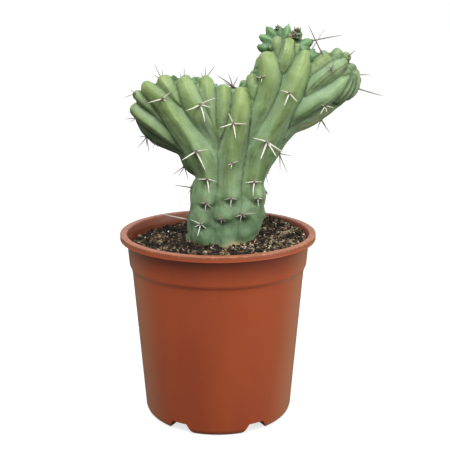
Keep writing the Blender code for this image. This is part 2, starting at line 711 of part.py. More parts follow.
def potting_soil(group, cutters, earth):
    """The soil as one solid that fills the pot, with a plain oval hole for the stem."""
    wall = [point for point in pot_inside(SEAT_GAP) if point[1] < POT_HEIGHT - COLLAR_DEPTH + MM]
    surface = [(SOIL_RADIUS * i / SOIL_RINGS, SOIL_TOP) for i in range(SOIL_RINGS + 1)]
    soil = turned("potting_soil", [*surface, *wall], group)
    for vertex in soil.data.vertices:
        if vertex.co.z > SOIL_TOP - MM:
            vertex.co.z = soil_height(vertex.co.x, vertex.co.y)
            edge = soil_radius(vertex.co.z) / SOIL_RADIUS
            vertex.co.x *= edge
            vertex.co.y *= edge
    grown = STUB_RADIUS + STUB_GAP
    hole = stem_plug("stem_hole", STUB_BOTTOM - SEAT_GAP, POT_HEIGHT, grown, grown, cutters)
    cut(soil, hole, "stem hole")
    cut(soil, recesses("soil_recess_roofs", WALL + SEAT_GAP, cutters), "recess roofs")
    soil.data.materials.append(earth)
    return soil


def main():
    clear_scene()
    parts = new_collection("crested_blue_candle_cactus")
    cutters = new_collection("cutters", hidden=True)
    nursery_pot(parts, cutters, material("terracotta_plastic", (0.3, 0.075, 0.03), 0.45))
    potting_soil(parts, cutters, material("soil", (0.035, 0.022, 0.014), 0.95))
    cactus(parts, material("cactus_skin", (0.22, 0.36, 0.13), 0.5))


main()
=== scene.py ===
"""Looks of the crested blue candle cactus in its nursery pot.

Metres, +Z up, and -Y faces the viewer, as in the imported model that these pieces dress.
Lengths that a table gives are in millimetres, and a pixel is one of the 450 by 450 photograph's.
"""

import logging
import math
from collections.abc import Iterable, Mapping, Sequence
from dataclasses import astuple, dataclass, field, fields
from enum import Enum
from functools import cache

import bmesh
import bpy
import numpy as np
from mathutils import Matrix, Vector, noise


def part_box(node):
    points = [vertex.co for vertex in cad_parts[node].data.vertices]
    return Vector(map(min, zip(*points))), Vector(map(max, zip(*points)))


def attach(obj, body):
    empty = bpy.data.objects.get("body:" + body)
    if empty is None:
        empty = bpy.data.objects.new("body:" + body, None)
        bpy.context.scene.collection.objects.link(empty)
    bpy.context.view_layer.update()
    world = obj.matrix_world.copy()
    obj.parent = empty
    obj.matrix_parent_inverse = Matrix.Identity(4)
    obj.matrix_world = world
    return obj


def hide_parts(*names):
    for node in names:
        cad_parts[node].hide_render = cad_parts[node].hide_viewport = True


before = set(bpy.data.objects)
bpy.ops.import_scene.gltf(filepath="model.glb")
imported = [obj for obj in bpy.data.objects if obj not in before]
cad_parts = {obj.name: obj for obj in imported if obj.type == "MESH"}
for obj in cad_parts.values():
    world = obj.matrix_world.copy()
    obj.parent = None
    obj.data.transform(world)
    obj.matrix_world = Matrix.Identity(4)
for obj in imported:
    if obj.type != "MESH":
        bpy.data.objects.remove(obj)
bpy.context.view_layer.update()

MM = 0.001
BODY = "root"
SEED = 17

# The way that a rod's section faces where nothing else says it.
ASLANT = (0.31, -0.9, 0.29)

log = logging.getLogger("cactus")

Colour = tuple[float, float, float, float]
Place = tuple[float, float, float]
Pixel = tuple[float, float]
Knot = tuple[float, float, float, float]

# Short names for the types in the hints.
Array = np.ndarray
Draw = np.random.Generator
Material = bpy.types.Material
Mesh = bpy.types.Mesh
Node = bpy.types.Node
Piece = bpy.types.Object
Socket = bpy.types.NodeSocket
Tree = bpy.types.NodeTree


def screen(red: int, green: int, blue: int) -> Colour:
    """The linear colour of one given as it looks on a screen, each channel from 0 to 255."""
    parts = (channel / 255 for channel in (red, green, blue))
    return (*(part / 12.92 if part <= 0.04045 else ((part + 0.055) / 1.055) ** 2.4 for part in parts), 1.0)


class Slot(Enum):
    """The material slots."""

    PLASTIC = "terracotta_plastic"
    SOIL = "soil"
    SKIN = "cactus_skin"
    SPINE = "spine"
    FELT = "areole_felt"
    PERLITE = "perlite"


class Graph:
    """A node tree under construction, which makes nodes and joins their sockets."""

    def __init__(self, tree: Tree) -> None:
        """Keeps the tree that the nodes go into."""
        self.tree = tree

    def feed(self, node: Node, sockets: Mapping) -> None:
        """Fills a node's inputs.

        Args:
            node: The node.
            sockets: A socket to link, or a constant, for each input by name or number.
        """
        for key, value in sockets.items():
            if isinstance(value, Socket):
                self.tree.links.new(value, node.inputs[key])
            else:
                node.inputs[key].default_value = value

    def add(self, kind: str, sockets: Mapping | None = None, **settings: object) -> Node:
        """Makes one node.

        Args:
            kind: The node's type.
            sockets: What its inputs take, by name or number.
            settings: The node's own properties.

        Returns:
            The new node.
        """
        node = self.tree.nodes.new(kind)
        for name, value in settings.items():
            setattr(node, name, value)
        self.feed(node, sockets or {})
        return node

    def math(self, operation: str, a: object, b: object) -> Socket:
        """The result of a Math node's operation on two values or sockets."""
        return self.add("ShaderNodeMath", {0: a, 1: b}, operation=operation).outputs[0]

    def plus(self, a: object, b: object) -> Socket:
        """The first value or socket plus the second."""
        return self.math("ADD", a, b)

    def less(self, a: object, b: object) -> Socket:
        """The first value or socket less the second."""
        return self.math("SUBTRACT", a, b)

    def times(self, a: object, b: object) -> Socket:
        """The first value or socket times the second."""
        return self.math("MULTIPLY", a, b)

    def blend(self, factor: object, a: object, b: object) -> Socket:
        """Colour b laid over colour a, by a factor from 0 to 1."""
        return self.add("ShaderNodeMix", {0: factor, 6: a, 7: b}, data_type="RGBA").outputs[2]

    def band(self, value: object, low: float, high: float, to: tuple = (0.0, 1.0)) -> Socket:
        """A value turned smoothly from the range between low and high to another range."""
        sockets = {"Value": value, "From Min": low, "From Max": high, "To Min": to[0], "To Max": to[1]}
        return self.add("ShaderNodeMapRange", sockets, interpolation_type="SMOOTHSTEP").outputs["Result"]

    def noise(self, vector: object, scale: object, detail: float = 3.0, rough: float = 0.5) -> Socket:
        """Cloudy noise at a vector, about 0.5 on average, whose finer layers are as strong as rough says."""
        sockets = {"Vector": vector, "Scale": scale, "Detail": detail, "Roughness": rough}
        return self.add("ShaderNodeTexNoise", sockets).outputs["Fac"]

    def cells(self, vector: object, scale: object) -> Socket:
        """The distance from a vector to the nearest of many strewn points."""
        return self.add("ShaderNodeTexVoronoi", {"Vector": vector, "Scale": scale}).outputs["Distance"]

    def stretched(self, vector: object, stretch: Place) -> Socket:
        """A vector multiplied along each axis."""
        return self.add("ShaderNodeVectorMath", {0: vector, 1: stretch}, operation="MULTIPLY").outputs[0]

    def mask(self, name: str) -> Socket:
        """The value that a mesh keeps under a name."""
        return self.add("ShaderNodeAttribute", attribute_name=name).outputs["Fac"]

    def place(self, name: str) -> Socket:
        """The vector that a mesh keeps under a name."""
        return self.add("ShaderNodeAttribute", attribute_name=name).outputs["Vector"]

    def position(self) -> Socket:
        """The place on the object, in metres."""
        return self.add("ShaderNodeTexCoord").outputs["Object"]

    def height(self) -> Socket:
        """The place's height, in metres."""
        return self.add("ShaderNodeSeparateXYZ", {0: self.position()}).outputs["Z"]

    def bump(self, height: object, strength: float, distance: float) -> Socket:
        """A normal tilted by a height, of which 1 stands as far out as the distance in metres."""
        sockets = {"Height": height, "Strength": strength, "Distance": distance}
        return self.add("ShaderNodeBump", sockets).outputs["Normal"]

    def dimmed(self, colour: object, lightness: object) -> Socket:
        """A colour at another lightness, where 1 is its own."""
        return self.add("ShaderNodeHueSaturation", {"Value": lightness, "Color": colour}).outputs["Color"]

    def group(self, made: Tree, **sockets: object) -> Node:
        """Places a shader group and fills its inputs by name."""
        return self.add("ShaderNodeGroup", sockets, node_tree=made)

    def mottled(self, colour: object, place: object, scale: float, clouds: float, specks: float) -> Socket:
        """A colour through the shared mottle, with how strong its clouds and its specks are."""
        sockets = {"Color": colour, "Place": place, "Scale": scale, "Clouds": clouds, "Specks": specks}
        return self.group(mottle_group(), **sockets).outputs["Color"]

    def grain(self, place: object, scale: float, pits: float) -> Node:
        """The shared fine relief, with how deep its pits are."""
        return self.group(grain_group(), Place=place, Scale=scale, Pits=pits)


def start_group(
    name: str, inputs: Mapping[str, str], outputs: Mapping[str, str]
) -> tuple[Graph, Mapping, Node]:
    """Makes an empty shader group with its named sockets.

    Args:
        name: The group's name.
        inputs: The kind of each input by name.
        outputs: The kind of each output by name.

    Returns:
        The group's graph, the sockets that bring its inputs, and its output node.
    """
    tree = bpy.data.node_groups.new(name, "ShaderNodeTree")
    for way, kinds in (("INPUT", inputs), ("OUTPUT", outputs)):
        for label, kind in kinds.items():
            tree.interface.new_socket(name=label, in_out=way, socket_type=f"NodeSocket{kind}")
    graph = Graph(tree)
    return graph, graph.add("NodeGroupInput").outputs, graph.add("NodeGroupOutput")


@cache
def mottle_group() -> Tree:
    """Uneven lightness: a colour lightened and darkened in soft clouds and fine specks.

    Returns:
        The group, with inputs Color, Place, Scale, Clouds and Specks, and output Color.
    """
    kinds = {"Color": "Color", "Place": "Vector", "Scale": "Float", "Clouds": "Float", "Specks": "Float"}
    graph, given, end = start_group("mottle", kinds, {"Color": "Color"})
    clouds = graph.noise(given["Place"], given["Scale"], 4.0)
    specks = graph.noise(given["Place"], graph.times(given["Scale"], 14.0), 2.0)
    cloud_part = graph.times(graph.less(clouds, 0.5), given["Clouds"])
    speck_part = graph.times(graph.less(specks, 0.5), given["Specks"])
    lightness = graph.plus(graph.plus(cloud_part, speck_part), 1.0)
    graph.feed(end, {"Color": graph.dimmed(given["Color"], lightness)})
    return graph.tree


@cache
def grain_group() -> Tree:
    """Fine relief: small pits and a softer unevenness.

    Returns:
        The group, with inputs Place, Scale and Pits, and outputs Height and Mask.
    """
    kinds = {"Place": "Vector", "Scale": "Float", "Pits": "Float"}
    graph, given, end = start_group("grain", kinds, {"Height": "Float", "Mask": "Float"})
    soft = graph.noise(given["Place"], given["Scale"], 5.0)
    pit = graph.band(graph.cells(given["Place"], given["Scale"]), 0.0, 0.35, (1.0, 0.0))
    graph.feed(end, {"Height": graph.less(soft, graph.times(pit, given["Pits"])), "Mask": pit})
    return graph.tree


@cache
def dust_group() -> Tree:
    """Dust and splashed earth, thick below a height and thinning out above it.

    Returns:
        The group, with inputs Color, Dust, Place, Height, Low, High and Amount, and output Color.
    """
    kinds = {"Color": "Color", "Dust": "Color", "Place": "Vector"}
    kinds |= dict.fromkeys(("Height", "Low", "High", "Amount"), "Float")
    graph, given, end = start_group("dust", kinds, {"Color": "Color"})
    limits = {"From Min": given["Low"], "From Max": given["High"], "To Min": 1.0, "To Max": 0.0}
    near = graph.add("ShaderNodeMapRange", {"Value": given["Height"], **limits}).outputs["Result"]
    patches = graph.noise(given["Place"], 260.0, 5.0, 0.7)
    thin = graph.less(graph.plus(patches, near), 0.85)
    amount = graph.band(graph.times(thin, given["Amount"]), 0.0, 0.5)
    graph.feed(end, {"Color": graph.blend(amount, given["Color"], given["Dust"])})
    return graph.tree


def new_material(name: str) -> tuple[Material, Graph, Node, Socket]:
    """A material with a bare Principled shader.

    Args:
        name: The material's name.

    Returns:
        The material, its graph, its shader node and the place on the object.
    """
    made = bpy.data.materials.new(name)
    made.use_nodes = True
    graph = Graph(made.node_tree)
    return made, graph, made.node_tree.nodes["Principled BSDF"], graph.position()


def wire(graph: Graph, shader: Node, **sockets: object) -> None:
    """Fills a shader's sockets, whose names are given with _ for each space."""
    graph.feed(shader, {name.replace("_", " "): value for name, value in sockets.items()})


@dataclass(frozen=True)
class CactusSkin:
    """Waxy green skin with a blue-grey wax coat, yellow young tips and corky scars, and painted light and
    shade: paler crests partly painted highlight, dark furrows painted shade, skin facing up painted paler,
    skin facing down and under each areole's chin painted darker.
    """

    flank: Colour = screen(96, 125, 80)
    crest: Colour = screen(117, 143, 93)
    olive: Colour = screen(82, 104, 52)
    # Blue-grey wax bloom, and also the painted light on skin that faces up.
    bloom_and_painted_light: Colour = screen(129, 155, 122)
    young: Colour = screen(124, 140, 69)
    fresh: Colour = screen(96, 148, 84)
    # Painted shade in the furrows.
    furrow: Colour = screen(46, 66, 38)
    verge: Colour = screen(130, 154, 122)
    deep: Colour = screen(94, 122, 86)
    # Painted shade on skin that faces down.
    shaded: Colour = screen(66, 90, 46)
    scar: Colour = screen(148, 142, 114)
    cork: Colour = screen(164, 148, 108)
    freckle: Colour = screen(176, 156, 84)
    splash: Colour = screen(78, 66, 46)

    def material(self) -> Material:
        """Builds the material.

        Returns:
            The material for a mesh that keeps the body's masks.
        """
        made, graph, shader, place = new_material("cactus_skin")
        along = graph.place("rib_place")
        streaks = graph.noise(graph.stretched(along, (0.03, 0.34, 1.0)), 1.0, 5.0, 0.62)
        clouds = graph.noise(place, 34.0, 4.0, 0.55)
        patches = graph.noise(graph.stretched(along, (0.04, 0.11, 1.0)), 1.0, 5.0, 0.62)
        # Crests paler than flanks: partly the skin's own tone, partly a painted highlight.
        lit = graph.band(graph.plus(graph.mask("crest"), clouds), 0.5, 1.3)
        colour = graph.blend(lit, self.flank, self.crest)
        colour = graph.blend(graph.band(patches, 0.46, 0.66, (0.0, 0.75)), colour, self.olive)
        # Painted light and shade by which way the skin faces: darker facing down, paler facing up.
        facing = graph.plus(graph.mask("sky"), graph.times(graph.less(clouds, 0.5), 0.35))
        facing = graph.plus(facing, graph.times(graph.mask("scar"), 0.3))
        colour = graph.blend(graph.band(facing, 0.12, 0.46, (0.7, 0.0)), colour, self.shaded)
        colour = graph.blend(graph.band(facing, 0.53, 0.78, (0.0, 0.65)), colour, self.bloom_and_painted_light)
        waxy = graph.plus(streaks, graph.times(graph.mask("waxy"), 0.3))
        colour = graph.blend(graph.band(waxy, 0.5, 0.8, (0.0, 0.85)), colour, self.bloom_and_painted_light)
        deep = graph.times(graph.mask("low"), graph.band(clouds, 0.3, 0.62, (0.2, 0.85)))
        colour = graph.blend(deep, colour, self.deep)
        young = graph.times(graph.mask("young"), graph.band(streaks, 0.25, 0.7, (0.4, 1.0)))
        colour = graph.blend(young, colour, self.young)
        colour = graph.blend(graph.mask("fresh"), colour, self.fresh)
        worn = graph.noise(graph.stretched(along, (0.09, 0.3, 1.3)), 1.0, 6.0, 0.68)
        scarred = graph.plus(worn, graph.times(graph.mask("scar"), 0.3))
        scarred = graph.plus(scarred, graph.times(graph.mask("over"), 0.26))
        colour = graph.blend(graph.band(scarred, 0.64, 0.84, (0.0, 0.7)), colour, self.scar)
        spot = graph.band(graph.cells(place, 240.0), 0.1, 0.24, (1.0, 0.0))
        spot = graph.times(spot, graph.band(graph.noise(place, 55.0, 2.0), 0.56, 0.68))
        spot = graph.times(spot, graph.mask("young"))
        colour = graph.blend(graph.times(spot, 0.85), colour, self.freckle)
        verge = graph.times(graph.mask("verge"), graph.band(streaks, 0.3, 0.6, (0.3, 0.75)))
        colour = graph.blend(verge, colour, self.verge)
        # Painted shade: the furrows are painted dark.
        colour = graph.blend(graph.times(graph.mask("furrow"), 0.66), colour, self.furrow)
        colour = graph.blend(graph.mask("cork"), colour, self.cork)
        colour = graph.mottled(colour, place, 75.0, 0.8, 0.4)
        # Painted shade: darker by the rib's dark tint and by the painted shadow under each areole's chin.
        low_light = graph.plus(graph.times(graph.mask("dark"), 0.5), graph.times(graph.mask("under"), 0.5))
        colour = graph.dimmed(colour, graph.less(1.0, low_light))
        dusty = graph.group(
            dust_group(), Color=colour, Dust=self.splash, Place=place,
            Height=graph.height(), Low=0.150, High=0.1575, Amount=1.5,
        )
        grain = graph.grain(place, 900.0, 0.5)
        relief = graph.plus(graph.times(grain.outputs["Height"], 0.4), streaks)
        roughness = graph.band(graph.plus(clouds, graph.mask("waxy")), 0.3, 1.2, (0.42, 0.62))
        wire(
            graph, shader, Base_Color=dusty.outputs["Color"], Roughness=roughness,
            Normal=graph.bump(relief, 0.4, 0.0007), Specular_IOR_Level=0.36,
            Subsurface_Weight=0.1, Subsurface_Radius=(0.6, 1.0, 0.3), Subsurface_Scale=0.002,
        )
        return made


@dataclass(frozen=True)
class SpineHorn:
    """Dull horn: ivory or grey shafts with brown roots and points."""

    ivory: Colour = screen(202, 202, 184)
    grey: Colour = screen(126, 118, 108)
    dark: Colour = screen(66, 56, 50)
    root: Colour = screen(96, 84, 72)

    def material(self) -> Material:
        """Builds the material.

        Returns:
            The material for spines that keep how grey they are drawn and each point's share of the length.
        """
        made, graph, shader, place = new_material("spine")
        age = graph.mask("age")
        share = graph.mask("share")
        worn = graph.noise(place, 420.0, 4.0, 0.65)
        # Grey and dark spines: partly their own greying, partly painted shade.
        colour = graph.blend(graph.band(age, 0.0, 0.5), self.ivory, self.grey)
        colour = graph.blend(graph.band(age, 0.5, 1.0), colour, self.dark)
        colour = graph.blend(graph.band(worn, 0.55, 0.8, (0.0, 0.35)), colour, self.grey)
        colour = graph.blend(graph.band(share, 0.04, 0.24, (0.9, 0.0)), colour, self.root)
        colour = graph.blend(graph.band(share, 0.8, 1.0, (0.0, 0.75)), colour, self.root)
        colour = graph.mottled(colour, place, 300.0, 0.3, 0.25)
        grain = graph.grain(place, 1800.0, 0.3)
        wire(
            graph, shader, Base_Color=colour, Roughness=graph.band(worn, 0.3, 0.8, (0.38, 0.6)),
            Normal=graph.bump(grain.outputs["Height"], 0.25, 0.0002),
        )
        return made


@dataclass(frozen=True)
class AreoleFelt:
    """Short grey-brown wool."""

    pale: Colour = screen(142, 130, 114)
    dark: Colour = screen(66, 56, 48)

    def material(self) -> Material:
        """Builds the material.

        Returns:
            The material for the wool pads.
        """
        made, graph, shader, place = new_material("areole_felt")
        tufts = graph.noise(place, 900.0, 5.0, 0.7)
        colour = graph.blend(graph.band(tufts, 0.35, 0.7), self.dark, self.pale)
        colour = graph.mottled(colour, place, 260.0, 0.7, 0.6)
        wire(
            graph, shader, Base_Color=colour, Roughness=graph.band(tufts, 0.2, 0.8, (0.85, 1.0)),
            Normal=graph.bump(tufts, 0.8, 0.0006), Sheen_Weight=0.4,
        )
        return made


@dataclass(frozen=True)
class DriedHusk:
    """Papery dead tissue of old flowers."""

    pale: Colour = screen(206, 198, 172)
    brown: Colour = screen(128, 116, 92)
    dark: Colour = screen(40, 36, 30)

    def material(self) -> Material:
        """Builds the material.

        Returns:
            The material for husks that keep each point's share of a scale's length.
        """
        made, graph, shader, place = new_material("dried_husk")
        veins = graph.noise(graph.stretched(place, (1.0, 1.0, 0.25)), 1400.0, 4.0, 0.6)
        share = graph.plus(graph.mask("share"), graph.times(veins, 0.5))
        colour = graph.blend(graph.band(share, 0.2, 0.75), self.dark, self.brown)
        colour = graph.blend(graph.band(share, 0.85, 1.35), colour, self.pale)
        colour = graph.mottled(colour, place, 500.0, 0.7, 0.4)
        wire(
            graph, shader, Base_Color=colour, Roughness=graph.band(veins, 0.2, 0.8, (0.7, 0.95)),
            Normal=graph.bump(veins, 0.7, 0.0004),
        )
        return made


@dataclass(frozen=True)
class MouldedPlastic:
    """Matt terracotta polypropylene with faint flow marks, scuffs and dust, a painted shadow under the lip, a
    painted sheen on the glancing wall, and darker towards the bottom.
    """

    body: Colour = screen(159, 71, 32)
    deep: Colour = screen(150, 65, 31)
    worn: Colour = screen(190, 122, 86)
    dust: Colour = screen(124, 60, 36)
    rim: Colour = screen(122, 78, 54)
    # Painted reflection of the white surroundings on the glancing wall.
    painted_sheen: Colour = screen(182, 140, 102)

    def material(self) -> Material:
        """Builds the material.

        Returns:
            The material for the pot, which keeps masks of its edges, its inside and the painted shadow under
            its lip.
        """
        made, graph, shader, place = new_material("terracotta_plastic")
        flow = graph.noise(graph.stretched(place, (1.0, 1.0, 0.3)), 26.0, 4.0, 0.55)
        clouds = graph.noise(place, 16.0, 3.0, 0.5)
        colour = graph.blend(graph.band(flow, 0.3, 0.72), self.deep, self.body)
        colour = graph.blend(graph.times(graph.mask("edge"), 0.7), colour, self.rim)
        scuffs = graph.noise(graph.stretched(place, (1.0, 1.0, 0.3)), 420.0, 6.0, 0.75)
        worn = graph.plus(scuffs, graph.times(graph.mask("edge"), 0.2))
        colour = graph.blend(graph.band(worn, 0.66, 0.82, (0.0, 0.5)), colour, self.worn)
        colour = graph.mottled(colour, place, 20.0, 0.12, 0.05)
        # Painted shadow under the lip, and a little painted light further down the wall.
        shade = graph.times(graph.mask("painted_lip_shadow"), 0.45)
        # Darker towards the bottom of the pot.
        lightness = graph.less(graph.band(graph.height(), 0.0, 0.13, (0.9, 1.0)), shade)
        colour = graph.dimmed(colour, lightness)
        dusty = graph.group(
            dust_group(), Color=colour, Dust=self.dust, Place=place,
            Height=graph.less(1.0, graph.mask("inside")), Low=0.0, High=1.0, Amount=0.9,
        )
        # Painted sheen: the outer wall paler where it turns away from the view.
        glancing = graph.add("ShaderNodeLayerWeight", {"Blend": 0.5}).outputs["Facing"]
        wall = graph.less(1.0, graph.math("MAXIMUM", graph.mask("inside"), graph.mask("edge")))
        painted_sheen_amount = graph.times(wall, graph.band(glancing, 0.32, 0.82, (0.0, 0.42)))
        colour = graph.blend(painted_sheen_amount, dusty.outputs["Color"], self.painted_sheen)
        grain = graph.grain(place, 1500.0, 0.15)
        relief = graph.plus(grain.outputs["Height"], graph.times(flow, 0.6))
        roughness = graph.band(graph.plus(clouds, graph.times(scuffs, 0.5)), 0.4, 1.1, (0.34, 0.5))
        wire(
            graph, shader, Base_Color=colour, Roughness=roughness,
            Normal=graph.bump(relief, 0.12, 0.0004), Specular_IOR_Level=0.55,
        )
        return made


@dataclass(frozen=True)
class Earth:
    """Peaty potting soil, from black crumbs to ochre bark."""

    black: Colour = screen(27, 22, 16)
    brown: Colour = screen(102, 83, 60)
    red: Colour = screen(92, 52, 30)
    ochre: Colour = screen(196, 182, 152)

    def material(self) -> Material:
        """Builds the material.

        Returns:
            The material for the surface, crumbs and fibres, which keep a lightness mask.
        """
        made, graph, shader, place = new_material("soil")
        lumps = graph.noise(place, 300.0, 6.0, 0.7)
        tone = graph.plus(graph.mask("tone"), graph.times(graph.less(lumps, 0.5), 0.8))
        clumps = graph.band(graph.noise(place, 95.0, 3.0, 0.6), 0.38, 0.62, (-0.42, 0.22))
        tone = graph.plus(tone, clumps)
        damp = graph.band(graph.noise(place, 62.0, 3.0, 0.6), 0.5, 0.66, (0.0, 0.75))
        colour = graph.blend(graph.band(tone, 0.1, 0.5), self.black, graph.blend(damp, self.brown, self.red))
        colour = graph.blend(graph.band(tone, 0.6, 1.0), colour, self.ochre)
        colour = graph.mottled(colour, place, 160.0, 0.6, 0.5)
        grain = graph.grain(place, 1100.0, 0.8)
        wire(
            graph, shader, Base_Color=colour, Roughness=graph.band(lumps, 0.3, 0.7, (0.8, 1.0)),
            Normal=graph.bump(grain.outputs["Height"], 0.9, 0.0008), Specular_IOR_Level=0.3,
        )
        return made


@dataclass(frozen=True)
class Perlite:
    """White foamed mineral grains with dirty pits."""

    white: Colour = screen(236, 232, 222)
    dirty: Colour = screen(150, 134, 112)

    def material(self) -> Material:
        """Builds the material.

        Returns:
            The material for the grains.
        """
        made, graph, shader, place = new_material("perlite")
        grain = graph.grain(place, 1300.0, 0.9)
        dirt = graph.times(grain.outputs["Mask"], graph.noise(place, 500.0, 3.0))
        colour = graph.blend(graph.band(dirt, 0.2, 0.6), self.white, self.dirty)
        wire(
            graph, shader, Base_Color=colour, Roughness=graph.band(dirt, 0.0, 0.6, (0.75, 0.95)),
            Normal=graph.bump(grain.outputs["Height"], 0.7, 0.0004),
        )
        return made


class MeshBatch:
    """Points, faces and masks of many small shapes that become one piece."""

    def __init__(self) -> None:
        """Starts empty."""
        self.points: list[Array] = []
        self.faces: list[tuple[int, ...]] = []
        self.masks: dict[str, list[Array]] = {}
        self.count = 0

    def add(
        self, points: Array, faces: Iterable[Sequence[int]], scale: float = 1.0, **masks: object
    ) -> "MeshBatch":
        """Adds one shape.

        Args:
            points: Its points.
            faces: Its faces, as numbers of its own points.
            scale: The points' unit, in metres.
            masks: A value, or one for each point, by mask name.

        Returns:
            The batch itself.
        """
        self.points.append(np.asarray(points, float) * scale)
        self.faces.extend(tuple(int(i) + self.count for i in face) for face in faces)
        for name, value in masks.items():
            self.masks.setdefault(name, []).append(np.broadcast_to(value, len(points)))
        self.count += len(points)
        return self

    def build(self, name: str) -> Piece:
        """Makes the object.

        Args:
            name: The piece's name.

        Returns:
            The new mesh object, shaded smooth.
        """
        mesh = bpy.data.meshes.new(name)
        mesh.from_pydata(np.concatenate(self.points).tolist(), [], self.faces)
        mesh.shade_smooth()
        for label, values in self.masks.items():
            keep_mask(mesh, label, np.concatenate(values))
        made = bpy.data.objects.new(name, mesh)
        bpy.context.scene.collection.objects.link(made)
        return made


def keep_mask(mesh: Mesh, name: str, values: Array) -> None:
    """Stores a value, or a vector, for each point of a mesh."""
    kind, label = ("FLOAT_VECTOR", "vector") if values.ndim == 2 else ("FLOAT", "value")
    mesh.attributes.new(name, kind, "POINT").data.foreach_set(label, values.astype(np.float32).ravel())


def read_points(mesh: Mesh, what: str = "co") -> Array:
    """A mesh's points, or their normals, as rows.

    Args:
        mesh: The mesh.
        what: The name of the values: co or normal.

    Returns:
        One row for each point.
    """
    flat = np.zeros(3 * len(mesh.vertices), np.float32)
    mesh.vertices.foreach_get(what, flat)
    return flat.reshape(-1, 3).astype(float)


def modify(piece: Piece, kind: str, **settings: object) -> None:
    """Applies a modifier to a piece.

    Args:
        piece: The object.
        kind: The modifier's type.
        settings: Its properties.
    """
    modifier = piece.modifiers.new(kind.lower(), kind)
    for name, value in settings.items():
        setattr(modifier, name, value)
    graph = bpy.context.evaluated_depsgraph_get()
    final = bpy.data.meshes.new_from_object(piece.evaluated_get(graph))
    final.name = piece.name
    piece.modifiers.clear()
    piece.data = final


def hand_over(piece: Piece, finish: Material, slot: Slot, *nodes: str) -> None:
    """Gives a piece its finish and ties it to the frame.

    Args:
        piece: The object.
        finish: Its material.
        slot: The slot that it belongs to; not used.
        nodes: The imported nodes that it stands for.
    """
    piece.data.materials.clear()
    piece.data.materials.append(finish)
    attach(piece, BODY)
    if nodes:
        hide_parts(*nodes)
    log.info("%s: %d points, %d faces", piece.name, len(piece.data.vertices), len(piece.data.polygons))


def unit(vector: Array) -> Array:
    """Rows scaled to a length of 1."""
    return vector / np.maximum(np.linalg.norm(vector, axis=-1, keepdims=True), 1e-9)


def bell(*shares: object) -> Array:
    """1 where every share is 0, and falling off smoothly about a share of 1."""
    return np.exp(-sum(share**2 for share in shares))


def cloud(points: Array, size: float, shift: Place = (0, 0, 0)) -> Array:
    """Soft noise about 0 at each point, in clouds about as wide as the size."""
    return np.array([noise.noise(Vector(point) / size + Vector(shift)) for point in points])


def bands(rings: Sequence[int], count: int) -> list[tuple[int, ...]]:
    """The faces between closed rings of points.

    Args:
        rings: Each ring's number, in order.
        count: How many points each ring has.

    Returns:
        The faces as numbers of the points.
    """
    steps = [(i, (i + 1) % count) for i in range(count)]
    pairs = list(zip(rings, rings[1:]))
    return [(a * count + i, a * count + j, b * count + j, b * count + i) for a, b in pairs for i, j in steps]


def smooth_line(knots: Sequence[Knot], step: float) -> Array:
    """A smooth curve through points that carry a half width.

    Args:
        knots: The points as (x, y, z, half width), in millimetres.
        step: The way between the curve's points.

    Returns:
        The curve's points in rows of four.
    """
    given = np.array(knots, float)
    ends = 2 * given[0] - given[1], 2 * given[-1] - given[-2]
    through = np.vstack([ends[0], given, ends[1]])
    rows = []
    for a, b, c, d in zip(through, through[1:], through[2:], through[3:]):
        t = np.arange(0, 1, 1 / max(2, round(np.linalg.norm(c - b) / step)))[:, None]
        bent = 2 * b + (c - a) * t + (2 * a - 5 * b + 4 * c - d) * t**2 + (3 * b - a - 3 * c + d) * t**3
        rows.append(bent / 2)
    return np.vstack([*rows, given[-1]])


def rounded_end(line: Array, share: float, steps: int = 6) -> Array:
    """A line carried on by a round end.

    Args:
        line: The line's points with their half widths.
        share: The end's length in half widths.
        steps: How many points it adds.

    Returns:
        The longer line.
    """
    along = unit(line[-1, :3] - line[-2, :3])
    turn = np.sin(math.pi / 2 * np.arange(1, steps + 1) / steps)[:, None]
    places = line[-1, :3] + along * (share * line[-1, 3] * turn)
    widths = np.maximum(line[-1, 3] * np.sqrt(1 - turn**2), 0.05)
    return np.vstack([line, np.hstack([places, widths])])


def upright(out: Place, along: Array) -> Array:
    """A direction turned square to a line's own direction at each of its points."""
    return unit(out - along * np.sum(out * along, axis=1, keepdims=True))


def tube(
    line: Array, sides: int, out: Place = ASLANT, edge: object = 2.0, spread: object = 1.0
) -> tuple[Array, list]:
    """A closed rod round a line, whose section is an oval that may be edged and wider than high.

    Args:
        line: The line's points with their half widths.
        sides: How many points each ring has.
        out: Which way the section's crest faces.
        edge: 2 for a round section and less for an edged one, or such a value for each point.
        spread: How much wider than high the section is, or such a value for each point.

    Returns:
        The rod's points and faces.
    """
    places, widths = line[:, :3], line[:, 3:]
    along = unit(np.gradient(places, axis=0))
    facing = upright(out, along)
    across = np.cross(along, facing)
    turn = np.linspace(0, 2 * math.pi, sides, endpoint=False)
    cosine, sine = np.cos(turn), np.sin(turn)
    power = np.broadcast_to(edge, len(line))[:, None]
    bent = (np.abs(cosine) ** power + np.abs(sine) ** power) ** (-1 / power)
    wide = sine * bent * np.broadcast_to(spread, len(line))[:, None]
    ring = facing[:, None] * (cosine * bent)[:, :, None] + across[:, None] * wide[:, :, None]
    points = (places[:, None] + ring * widths[:, None]).reshape(-1, 3)
    start, end = tuple(range(sides))[::-1], tuple(range(len(points) - sides, len(points)))
    return points, [start, end, *bands(range(len(line)), sides)]


